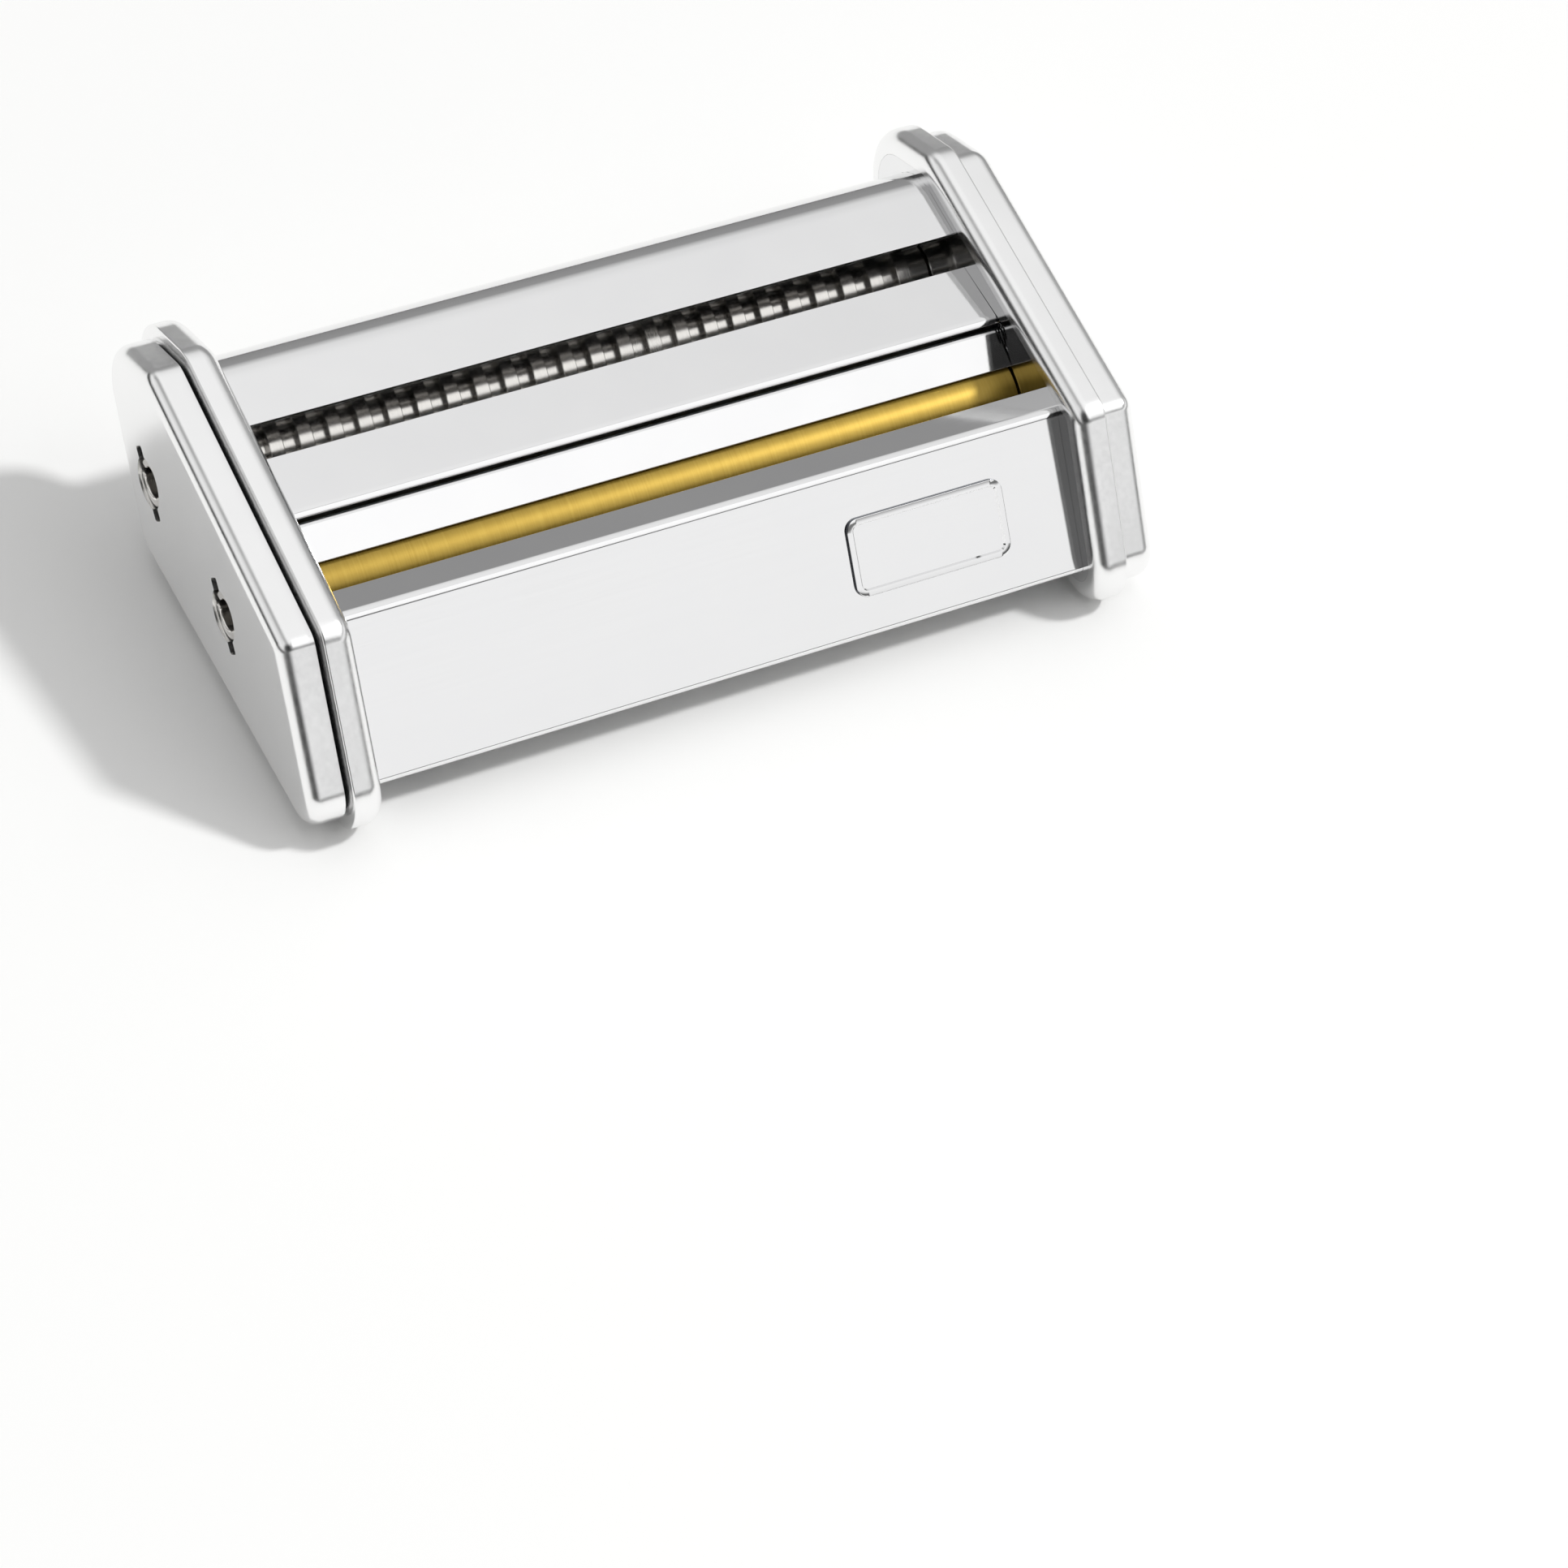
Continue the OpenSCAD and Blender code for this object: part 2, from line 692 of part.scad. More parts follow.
module rear_drive_roller() { color("dimgray") shaft(rear_drive_y, socket_end, disc_body(-1)); }
module rear_idle_roller() { color("dimgray") shaft(rear_idle_y, clipped_end(idle_clip_x), disc_body(1)); }

module tube(y, x0, x1, r) {
  on_axis(y) translate([0, 0, x0]) difference() {
    cylinder(r = r, h = x1 - x0, $fn = 96);
    translate([0, 0, -1]) cylinder(r = ring_bore_r, h = x1 - x0 + 2, $fn = 64);
  }
}
module front_drive_roller() { color("goldenrod") tube(front_drive_y, -sleeve_end, sleeve_end, anvil_r); }

// Zigzag edge round a ring, as a band whose middle swings from side to side
module zigzag_edge(x) {
  steps = 2 * ring_points;
  foot_r = sleeve_r - 0.6;
  corners = [[foot_r, -1], [ring_r, -1], [ring_r, 1], [foot_r, 1]];
  points = flat([for (i = [0:steps - 1]) let (
    a = 360 * i / steps,
    mid = x + (i % 2 == 0 ? ring_swing : -ring_swing)
  ) [for (c = corners) [mid + c[1] * ring_blade / 2, c[0] * cos(a), c[0] * sin(a)]]]);
  faces = [for (i = [0:steps - 1]) for (k = [0:3]) [
    4 * i + k,
    4 * i + (k + 1) % 4,
    4 * ((i + 1) % steps) + (k + 1) % 4,
    4 * ((i + 1) % steps) + k
  ]];
  triangles = flat([for (f = faces) [[f[0], f[1], f[2]], [f[0], f[2], f[3]]]]);
  translate([0, case_y + front_cutter_y, case_z + axis_h]) polyhedron(points, triangles);
}
module zigzag_rings() {
  color("silver") for (i = [0:ring_count - 1]) {
    tube(front_cutter_y, ring_x(i) - ring_hub / 2, ring_x(i) + ring_hub / 2, sleeve_r);
    zigzag_edge(ring_x(i));
  }
}
module spacer_sleeves() {
  color("gray") {
    for (i = [0:ring_count - 2])
      tube(front_cutter_y, ring_x(i) + ring_hub / 2, ring_x(i + 1) - ring_hub / 2, sleeve_r);
    both_sides() tube(front_cutter_y, ring_x(ring_count - 1) + ring_hub / 2, sleeve_end, sleeve_r);
  }
}

// Involute spur gear with its first tooth centred on +Y of the section
function involute(base_r, r) = let (t = acos(min(1, base_r / r))) tan(t) * 180 / PI - t;
module gear(axis, teeth, tooth_turn) {
  pitch_r = gear_module * teeth / 2;
  base_r = pitch_r * cos(20);
  root_r = pitch_r - 1.25 * gear_module;
  tip_r = pitch_r + gear_module;
  half_tooth = 90 / teeth - backlash / 4 / pitch_r * 180 / PI + involute(base_r, pitch_r);
  flank = [for (k = [0:5]) let (r = base_r + (tip_r - base_r) * k / 5) [r, half_tooth - involute(base_r, r)]];
  root_half = half_tooth + 0.5;
  tooth = concat(
    [[root_r, -root_half]],
    [for (f = flank) [f[0], -f[1]]],
    reversed(flank),
    [[root_r, root_half]]
  );
  prism(gear_x, gear_x + gear_w) translate([axis, axis_h]) difference() {
    rotate(tooth_turn) polygon(flat([for (i = [0:teeth - 1])
      [for (p = tooth) p[0] * [cos(p[1] + 360 * i / teeth), sin(p[1] + 360 * i / teeth)]]]));
    intersection() {
      circle(r = journal_r + push_fit, $fn = 64);
      translate([-2 * journal_r, -2 * journal_r]) square([4 * journal_r, 2 * journal_r + flat_h + push_fit]);
    }
  }
}
module front_drive_gear() { color("dimgray") gear(front_drive_y, front_teeth, 180); }
module front_cutter_gear() { color("dimgray") gear(front_cutter_y, front_teeth, 180 / front_teeth); }
module rear_drive_gear() { color("dimgray") gear(rear_drive_y, rear_teeth, 180); }
module rear_idle_gear() { color("dimgray") gear(rear_idle_y, rear_teeth, 180 / rear_teeth); }

module clip(axis, x) {
  prism(x + push_fit / 2, x + clip_t) translate([axis, axis_h]) difference() {
    circle(r = clip_r, $fn = 48);
    circle(r = clip_groove_r + push_fit, $fn = 48);
    translate([-clip_slot / 2, -2 * clip_r]) square([clip_slot, 2 * clip_r]);
  }
}
module front_drive_clip() { color("gray") clip(front_drive_y, drive_clip_x); }
module rear_drive_clip() { color("gray") clip(rear_drive_y, drive_clip_x); }
module idle_clips(axis) {
  clip(axis, drive_clip_x);
  mirror([1, 0, 0]) clip(axis, idle_clip_x);
}
module front_cutter_clips() { color("gray") idle_clips(front_cutter_y); }
module rear_idle_clips() { color("gray") idle_clips(rear_idle_y); }

// Socket for the crank, pushed onto the spigot of its shaft
module crank_socket(y) {
  mirror([1, 0, 0]) on_axis(y) difference() {
    translate([0, 0, gear_x]) cylinder(r = socket_r, h = socket_x - gear_x, $fn = 64);
    translate([0, 0, gear_x - 1]) cylinder(r = spigot_r + push_fit, h = spigot_len + push_fit + 1, $fn = 64);
    translate([0, 0, gear_x - 1]) cylinder(r = socket_bore_r, h = cap_t + rim_t, $fn = 64);
    translate([-socket_slot / 2, -2 * socket_r, socket_x - socket_slot_d])
      cube([socket_slot, 4 * socket_r, cap_t]);
  }
}
module front_crank_socket() { color("gray") crank_socket(front_drive_y); }
module rear_crank_socket() { color("gray") crank_socket(rear_drive_y); }

left_side_plate();
right_side_plate();
left_rim();
right_rim();
left_end_cap();
right_end_cap();
front_panel();
feed_plate();
middle_cover();
back_cover();
front_tie_bar();
tie_rods();
tie_nuts();
panel_screws();
slide_rails();
rail_rivets();
left_front_drive_bush();
left_front_cutter_bush();
left_rear_drive_bush();
left_rear_idle_bush();
right_front_drive_bush();
right_front_cutter_bush();
right_rear_drive_bush();
right_rear_idle_bush();
front_drive_scraper();
front_cutter_scraper();
rear_drive_comb();
rear_idle_comb();
front_drive_shaft();
front_drive_roller();
front_drive_gear();
front_drive_clip();
front_crank_socket();
front_cutter_shaft();
zigzag_rings();
spacer_sleeves();
front_cutter_gear();
front_cutter_clips();
rear_drive_roller();
rear_drive_gear();
rear_drive_clip();
rear_crank_socket();
rear_idle_roller();
rear_idle_gear();
rear_idle_clips();
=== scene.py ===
# %% [markdown]
# Cutter head of a hand-cranked pasta machine, dressed for rendering. The CAD model gives every
# piece its place. This script gives each surface its finish, and remodels the pieces whose
# rounded edges catch the light. It starts by loading the frame and keeping its box.

# %% Load the frame
import math

import bmesh
import bpy
from mathutils import Matrix, Vector


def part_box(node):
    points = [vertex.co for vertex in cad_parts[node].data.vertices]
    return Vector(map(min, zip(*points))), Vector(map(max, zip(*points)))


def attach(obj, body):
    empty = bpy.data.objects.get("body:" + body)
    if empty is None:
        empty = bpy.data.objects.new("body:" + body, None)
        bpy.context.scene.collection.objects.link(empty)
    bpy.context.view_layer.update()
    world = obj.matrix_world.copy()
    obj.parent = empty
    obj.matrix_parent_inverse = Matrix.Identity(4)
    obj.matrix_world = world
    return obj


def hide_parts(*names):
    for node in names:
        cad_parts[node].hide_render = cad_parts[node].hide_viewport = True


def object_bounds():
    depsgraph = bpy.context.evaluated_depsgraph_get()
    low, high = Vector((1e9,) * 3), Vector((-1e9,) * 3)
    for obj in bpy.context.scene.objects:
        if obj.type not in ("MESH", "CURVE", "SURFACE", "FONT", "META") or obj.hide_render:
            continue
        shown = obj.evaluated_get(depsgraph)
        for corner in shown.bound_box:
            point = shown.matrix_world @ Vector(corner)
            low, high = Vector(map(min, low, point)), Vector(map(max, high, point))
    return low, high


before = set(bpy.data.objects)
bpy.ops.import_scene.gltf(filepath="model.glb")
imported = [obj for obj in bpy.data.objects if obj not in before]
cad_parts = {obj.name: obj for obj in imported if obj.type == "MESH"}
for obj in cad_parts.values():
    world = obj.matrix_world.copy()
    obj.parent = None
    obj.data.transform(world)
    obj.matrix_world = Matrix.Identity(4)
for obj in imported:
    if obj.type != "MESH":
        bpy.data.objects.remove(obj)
cad_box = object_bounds()
MM = 0.001

# %% [markdown]
# The case is drawn in its own section, with Y to the back and Z up from the virtual front corner
# of its foot. Its driving sizes, in millimetres, are the ones that the plates are made to. The
# place of that corner follows from the axis of the smooth front roller in the frame.

# %% Sizes of the case
LEAN = math.radians(34)
AXIS_H = 19
FRONT_AXIS = 34.58
CRANK_PITCH = 36
REAR_PITCH = 16
BASE_D = 85.8
FRONT_H = 35
BACK_H = 35.6
CROWN_H = 45
CROWN_BEHIND_AXIS = 3
# From the front corner of the foot over the crown to the heel
CORNER_R = (6.8, 3.5, 6, 10.5, 8)

# Half the width between the side plates, and the outer faces of the rim and of the cap
HALF_W = 75
RIM_X = 81.3
CAP_X = 89.1
RIM_STEP = 2.5
RIM_ROUND = 3.2
PLATE_INSET = 2
CAP_WALL = 1.6
CAP_ROUND = 3
SHEET_T = 0.8
GROOVE_D = 1

front_drive_y = AXIS_H * math.tan(LEAN) + FRONT_AXIS
rear_drive_y = front_drive_y + CRANK_PITCH
rear_idle_y = rear_drive_y - REAR_PITCH

roller_lo, roller_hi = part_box("front_drive_roller")
axis_point = (roller_lo + roller_hi) / 2
CASE = Vector((0, axis_point.y / MM - front_drive_y, cad_box[0][2] / MM + RIM_STEP))
print("front corner of the case, mm:", [round(c, 3) for c in CASE])

# %% [markdown]
# The camera comes next, because it decides what has to be looked at closely. It stands about a
# metre away and looks down on the front left, with a long lens that hardly converges. AIM is the
# point of the 1932 pixel wide picture in which the front corner of the case lies.

# %% Camera
PICTURE = 1932
FOCAL_PX = 6486
AZIMUTH = math.radians(-34.22)
ELEVATION = math.radians(48.82)
ROLL = math.radians(9.76)
DISTANCE = 990
AIM = (933, 903)

away = Vector(
    (
        math.sin(AZIMUTH) * math.cos(ELEVATION),
        -math.cos(AZIMUTH) * math.cos(ELEVATION),
        math.sin(ELEVATION),
    )
)
level = (-away).cross(Vector((0, 0, 1))).normalized()
upright = level.cross(-away)
right = math.cos(ROLL) * level + math.sin(ROLL) * upright
up = -math.sin(ROLL) * level + math.cos(ROLL) * upright
across = (AIM[0] - PICTURE / 2) * DISTANCE / FOCAL_PX
below = (AIM[1] - PICTURE / 2) * DISTANCE / FOCAL_PX
eye = (CASE + DISTANCE * away - across * right + below * up) * MM

camera_data = bpy.data.cameras.new("camera")
camera_data.sensor_width = 36
camera_data.lens = camera_data.sensor_width * FOCAL_PX / PICTURE
camera_data.clip_start = 0.05
camera_data.clip_end = 50
camera = bpy.data.objects.new("camera", camera_data)
camera.matrix_world = Matrix.Translation(eye) @ Matrix((right, up, away)).transposed().to_4x4()
bpy.context.scene.collection.objects.link(camera)
bpy.context.scene.camera = camera
bpy.context.scene.view_settings.view_transform = "Standard"
print("camera at, m:", [round(c, 3) for c in eye], "lens:", round(camera_data.lens, 1))

# %% [markdown]
# A material is a small graph of nodes. One function turns a hex colour as a screen shows it into
# the linear values that Blender calculates with. Another adds a node: its settings go in by name,
# and each input gets a value, a socket, or a node, which then gives its first output in use. The
# stops fill the curve of a colour ramp. Nodes could also be placed by hand in the editor, but in
# code a finish is a few lines that can be read, compared and changed.

# %% Colour and node helpers
def linear(hex_colour):
    """Linear red, green, blue and alpha of a hex colour."""
    values = [int(hex_colour[i : i + 2], 16) / 255 for i in (1, 3, 5)]
    return [v / 12.92 if v <= 0.04045 else ((v + 0.055) / 1.055) ** 2.4 for v in values] + [1.0]


def add(tree, kind, inputs=None, stops=(), **settings):
    """Adds a node. stops are the (place, brightness) steps of a colour ramp, from low to high."""
    node = tree.nodes.new(kind)
    for name, value in settings.items():
        setattr(node, name, value)
    for name, value in (inputs or {}).items():
        socket = next(s for s in node.inputs if s.name == name and s.enabled)
        if isinstance(value, bpy.types.Node):
            value = next(s for s in value.outputs if s.enabled)
        if isinstance(value, bpy.types.NodeSocket):
            tree.links.new(value, socket)
        else:
            socket.default_value = value
    for _ in stops[2:]:
        node.color_ramp.elements.new(0.5)
    for i, (place, shade) in enumerate(stops):
        node.color_ramp.elements[i].position = place
        node.color_ramp.elements[i].color = (shade, shade, shade, 1)
    return node


def blank_material(name):
    """A new material and its graph, which is empty."""
    material = bpy.data.materials.new(name)
    material.use_nodes = True
    material.node_tree.nodes.clear()
    return material, material.node_tree


print("mid grey #808080 in linear light:", round(linear("#808080")[0], 3))

# %% [markdown]
# Chrome has almost no colour of its own, so what it looks like is what it reflects. Around this
# casing that is the white tent in which chrome is lit. A ring of lamps could stand for the tent,
# but one world is smoother and has no noise of its own, so the tent is drawn there as brightness.
# On each wall it is a curve of how high a direction points, from the horizon at 0 to overhead at 1.
# All walls are dark at the foot, and that draws the black lines along the lower bends. The front
# wall also has a dark band at half height, which draws the thin line at the top bends and the grey
# of the upper corners. The left wall is darkest at its foot, and the back wall stays grey longest.

# %% Walls of the white tent
FRONT_FOOT = ((0, 0.1), (0.1, 0.13), (0.17, 0.5), (0.22, 0.9), (0.35, 1))
FRONT_BAND = ((0.41, 0.4), (0.45, 0.18), (0.58, 0.22), (0.67, 0.9), (1, 1))
FRONT_WALL = FRONT_FOOT + FRONT_BAND
BACK_WALL = ((0, 0.12), (0.06, 0.27), (0.42, 0.32), (0.62, 0.85), (0.8, 0.95), (1, 1))
LEFT_WALL = ((0, 0.02), (0.2, 0.03), (0.27, 0.4), (0.36, 0.8), (0.55, 0.95), (1, 1))

world = bpy.data.worlds.new("white tent")
world.use_nodes = True
bpy.context.scene.world = world
tent = world.node_tree
tent.nodes.clear()

direction = add(tent, "ShaderNodeTexCoord").outputs["Generated"]
axes = add(tent, "ShaderNodeSeparateXYZ", {"Vector": direction})
front_wall, back_wall, left_wall = (
    add(tent, "ShaderNodeValToRGB", {"Fac": axes.outputs["Z"]}, stops=curve)
    for curve in (FRONT_WALL, BACK_WALL, LEFT_WALL)
)
print("stops of the walls:", [len(curve) for curve in (FRONT_WALL, BACK_WALL, LEFT_WALL)])

# %% [markdown]
# The roof has a curve too, but across: from the left at 0 to the right at 1. It holds a grey seam
# on the left, and it fades towards the right end. The parts of the tent are then joined one after
# another. Each takes over while a direction runs from the start to the end of its change along one
# axis, and the roof is multiplied in, so that it can only darken the wall that it meets.

# %% Roof of the white tent
ROOF = ((0, 0.8), (0.22, 0.8), (0.28, 0.4), (0.35, 0.4), (0.43, 0.95), (0.64, 0.95), (0.74, 0.88), (1, 0.6))

across_roof = add(tent, "ShaderNodeMapRange", {"Value": axes.outputs["X"], "From Min": -1, "From Max": 1})
roof = add(tent, "ShaderNodeValToRGB", {"Fac": across_roof}, stops=ROOF)
inside = front_wall
for part, axis, change_starts, change_ends, how in (
    (back_wall, "Y", -0.2, 0.6, "MIX"),
    (left_wall, "X", -0.2, -0.5, "MIX"),
    (roof, "Z", 0.45, 0.7, "MULTIPLY"),
):
    share = add(
        tent,
        "ShaderNodeMapRange",
        {"Value": axes.outputs[axis], "From Min": change_starts, "From Max": change_ends},
        interpolation_type="SMOOTHSTEP",
    )
    mixed = {"Factor": share, "A": inside, "B": part}
    inside = add(tent, "ShaderNodeMix", mixed, data_type="RGBA", blend_type=how)
print("tent nodes:", len(tent.nodes))

# %% [markdown]
# Two round patches of the tent are darker. One is the opening at the front left, through which the
# tent is looked into: in chrome it becomes the dark that gives the inner walls their depth. The
# other lies behind the softbox. A lamp adds its light to the world seen behind it, so without this
# patch the bright sheets would reflect more than white, and lose their shape there.

# %% Dark patches of the white tent
OPENING = (-0.41, -0.66, 0.63)
SOFTBOX = (0.33, -0.45, 0.72)
# Where a patch lies, its outer and inner edge in degrees off its middle, and its brightness
PATCHES = ((OPENING, 34, 14, 0.03), (SOFTBOX, 24, 19, 0.35))

for towards, outer, inner, shade in PATCHES:
    nearness = add(tent, "ShaderNodeVectorMath", {"Vector": direction}, operation="DOT_PRODUCT")
    nearness.inputs[1].default_value = Vector(towards).normalized()
    edges = {"From Min": math.cos(math.radians(outer)), "From Max": math.cos(math.radians(inner))}
    shading = {"Value": nearness, **edges, "To Min": 1, "To Max": shade}
    patch = add(tent, "ShaderNodeMapRange", shading, interpolation_type="SMOOTHSTEP")
    mixed = {"Factor": 1.0, "A": inside, "B": patch}
    inside = add(tent, "ShaderNodeMix", mixed, data_type="RGBA", blend_type="MULTIPLY")
glow = add(tent, "ShaderNodeBackground", {"Color": inside, "Strength": 1.0})
add(tent, "ShaderNodeOutputWorld", {"Surface": glow})
print("tent nodes:", len(tent.nodes))

# %% [markdown]
# The head stands on matt white paper. A backdrop with a curved rear edge is usual in a studio, but
# a large flat sheet fills the view from every side alike, and chrome sees it too. Its fibres are
# about a millimetre apart and barely raised, so that the shadow falls on something.

# %% Paper floor
FLOOR_REACH = 8


def pale_floor():
    material, tree = blank_material("matt_white_paper")
    place = add(tree, "ShaderNodeTexCoord")
    noise = {"Vector": place.outputs["Object"], "Scale": 900.0, "Detail": 2.0}
    fibres = add(tree, "ShaderNodeTexNoise", noise)
    lift = add(tree, "ShaderNodeBump", {"Height": fibres, "Strength": 0.05, "Distance": 0.1 * MM})
    matt = {"Base Color": linear("#FAFAF9"), "Roughness": 0.9, "Specular IOR Level": 0.1, "Normal": lift}
    paper = add(tree, "ShaderNodeBsdfPrincipled", matt)
    add(tree, "ShaderNodeOutputMaterial", {"Surface": paper})
    return material


bm = bmesh.new()
bmesh.ops.create_grid(bm, x_segments=1, y_segments=1, size=FLOOR_REACH)
floor_mesh = bpy.data.meshes.new("floor")
bm.to_mesh(floor_mesh)
bm.free()
floor_mesh.materials.append(pale_floor())
floor = bpy.data.objects.new("floor", floor_mesh)
bpy.context.scene.collection.objects.link(floor)
print("floor is", 2 * FLOOR_REACH, "m wide")

# %% [markdown]
# A round softbox hangs over the front right. It draws the white line on the bends, and it lights
# the lands of the cutters deep in their slot, which a hard lamp alone would leave black. A hard
# lamp far out on the right throws the shadow to the left. It is a sun, because its rays then come
# from one direction everywhere, and its few degrees of width soften the edge of the shadow.

# %% Lamps
SOFTBOX_SIZE = 0.7
SOFTBOX_WATTS = 0.98
SUN_STRENGTH = 1.7
SUN_WIDTH = math.radians(7)
SUN_RAYS = (-0.62, 0.2, -0.76)


def hang_lamp(name, kind, place, rays, **settings):
    """Adds a lamp at place that shines along rays."""
    lamp_data = bpy.data.lights.new(name, kind)
    for setting, value in settings.items():
        setattr(lamp_data, setting, value)
    lamp = bpy.data.objects.new(name, lamp_data)
    lamp.location = place
    lamp.rotation_euler = Vector(rays).to_track_quat("-Z", "Y").to_euler()
    bpy.context.scene.collection.objects.link(lamp)


softbox = {"shape": "DISK", "size": SOFTBOX_SIZE, "energy": SOFTBOX_WATTS}
hang_lamp("softbox over the front", "AREA", SOFTBOX, -Vector(SOFTBOX), **softbox)
hang_lamp("hard lamp on the right", "SUN", (0, 0, 0), SUN_RAYS, energy=SUN_STRENGTH, angle=SUN_WIDTH)

# %% [markdown]
# Most metals here differ in three things: their colour, how rough they are, and the marks of the
# tool that made them. worked_metal builds that graph once. The marks are noise, stretched along
# the way in which the tool moved: mark gives the size of one mark in millimetres along X, Y and Z.
# The same noise spreads the roughness and lifts the surface, and larger patches move the colour.
# The anisotropy of the shader could stand for brushing too, but it needs a direction at each point,
# and drawn marks show the tool's path by themselves.

# %% Worked metal
def worked_metal(name, pale, dark, rough, mark, relief, patch=18.0):
    """rough is the range of the roughness, relief the lift of the marks, patch a size in mm."""
    material, tree = blank_material(name)
    place = add(tree, "ShaderNodeTexCoord")
    scale = [1 / (size * MM) for size in mark]
    along = add(tree, "ShaderNodeMapping", {"Vector": place.outputs["Object"], "Scale": scale})
    marks = add(tree, "ShaderNodeTexNoise", {"Vector": along, "Scale": 1.0, "Detail": 4.0, "Roughness": 0.6})
    cloudy = {"Scale": 1 / (patch * MM), "Detail": 3.0, "Roughness": 0.55}
    patches = add(tree, "ShaderNodeTexNoise", {"Vector": place.outputs["Object"], **cloudy})
    colours = {"Factor": patches, "A": linear(dark), "B": linear(pale)}
    tone = add(tree, "ShaderNodeMix", colours, data_type="RGBA")
    both = add(tree, "ShaderNodeMix", {"Factor": 0.5, "A": patches, "B": marks}, data_type="FLOAT")
    spread = {"From Min": 0.35, "From Max": 0.65, "To Min": rough[0], "To Max": rough[1]}
    gloss = add(tree, "ShaderNodeMapRange", {"Value": both, **spread})
    lift = add(tree, "ShaderNodeBump", {"Height": marks, "Strength": relief, "Distance": 0.02 * MM})
    plated = {"Base Color": tone, "Metallic": 1.0, "Roughness": gloss, "Normal": lift}
    metal = add(tree, "ShaderNodeBsdfPrincipled", plated)
    add(tree, "ShaderNodeOutputMaterial", {"Surface": metal})
    return material


# Zinc die castings, polished and chrome plated: bright, with a slightly wavy gloss
cast_chrome = worked_metal("chrome_plated_casting", "#FBFBFB", "#F4F4F4", (0.18, 0.26), (1.2, 1.2, 1.2), 0.06)
# Steel strip, rolled along X, then polished and plated: long faint streaks
plated_sheet = worked_metal("polished_plated_sheet", "#F2F2F2", "#ECECED", (0.05, 0.10), (25, 0.5, 0.5), 0.04)
# Rollers turned on a lathe and nickel plated: fine rings round X, a little warm
turned_nickel = worked_metal("turned_nickel_plate", "#F2F0EC", "#DEDBD6", (0.16, 0.28), (0.12, 6, 6), 0.25)
# Bars, rods, nuts, scrapers and combs: drawn steel with a dull bluish zinc coat
zinc_steel = worked_metal("zinc_plated_steel", "#C9CDD1", "#A9AEB4", (0.26, 0.42), (6, 0.6, 0.6), 0.2, 5.0)
# Painted shade for the gap behind each end cap and the hollow inside it: near black, with a grain from
# casting
gap_shade_paint = worked_metal("painted_shade_in_gap", "#2E2E2F", "#1E1E1F", (0.55, 0.7), (1, 1, 1), 0.2, 4.0)
# Blued spring steel, a dark satin grey, for the clips; on the sides of the badge frame the same grey is
# painted shade
steel_and_shade_greys = ("#6E7178", "#54565C")
blued_steel_and_edge_shade = worked_metal("blued_steel_and_painted_edge_shade", *steel_and_shade_greys, (0.3, 0.42), (0.5, 0.5, 0.5), 0.2, 3.0)
print("materials:", len(bpy.data.materials))

# %% [markdown]
# The sleeve of the front roller is metal turned on a lathe under a golden satin lacquer. The metal
# shows through, so the base is a metal, not quite a full one, and the lacquer is a thin coat over
# it. The turning leaves rings about a quarter of a millimetre apart, as wide as they need to show.

# %% Golden sleeve
def golden_lacquer():
    material, tree = blank_material("golden_satin_sleeve")
    place = add(tree, "ShaderNodeTexCoord")
    scale = [1 / (size * MM) for size in (0.25, 12, 12)]
    rings = add(tree, "ShaderNodeMapping", {"Vector": place.outputs["Object"], "Scale": scale})
    turning = add(tree, "ShaderNodeTexNoise", {"Vector": rings, "Scale": 1.0, "Detail": 3.0})
    colours = {"Factor": turning, "A": linear("#967A2B"), "B": linear("#AA9040")}
    tone = add(tree, "ShaderNodeMix", colours, data_type="RGBA")
    gloss = add(tree, "ShaderNodeMapRange", {"Value": turning, "To Min": 0.3, "To Max": 0.4})
    lift = add(tree, "ShaderNodeBump", {"Height": turning, "Strength": 0.15, "Distance": 0.02 * MM})
    under = {"Base Color": tone, "Metallic": 0.85, "Roughness": gloss, "Normal": lift}
    lacquer = {"Coat Weight": 0.3, "Coat Roughness": 0.25}
    metal = add(tree, "ShaderNodeBsdfPrincipled", {**under, **lacquer})
    add(tree, "ShaderNodeOutputMaterial", {"Surface": metal})
    return material


golden = golden_lacquer()
print("finish:", golden.name)

# %% [markdown]
# The gears are pressed from steel powder, sintered and soaked in oil. They are dark and grainy, and
# the film of oil gives them a faint second sheen. Cells of a Voronoi texture look more like packed
# grains than noise does. Real grains are about 0.1 mm, and they are drawn at 0.3 mm to show.

# %% Sintered gears
def sintered_steel():
    material, tree = blank_material("oiled_sintered_steel")
    place = add(tree, "ShaderNodeTexCoord")
    packed = {"Vector": place.outputs["Object"], "Scale": 1 / (0.3 * MM)}
    grains = add(tree, "ShaderNodeTexVoronoi", packed)
    colours = {"Factor": grains, "A": linear("#6B6964"), "B": linear("#45433F")}
    tone = add(tree, "ShaderNodeMix", colours, data_type="RGBA")
    lift = add(tree, "ShaderNodeBump", {"Height": grains, "Strength": 0.35, "Distance": 0.05 * MM})
    oiled = {"Base Color": tone, "Metallic": 0.9, "Roughness": 0.48, "Normal": lift, "Coat Weight": 0.2}
    metal = add(tree, "ShaderNodeBsdfPrincipled", oiled)
    add(tree, "ShaderNodeOutputMaterial", {"Surface": metal})
    return material


sintered = sintered_steel()
print("finish:", sintered.name)

# %% [markdown]
# The bushes are moulded in natural nylon: off-white, with a soft sheen that flow marks about two
# millimetres across make a little uneven. Light enters nylon and comes out again nearby. A paler
# colour could stand for that, but a little subsurface light also softens the edges, as nylon does.

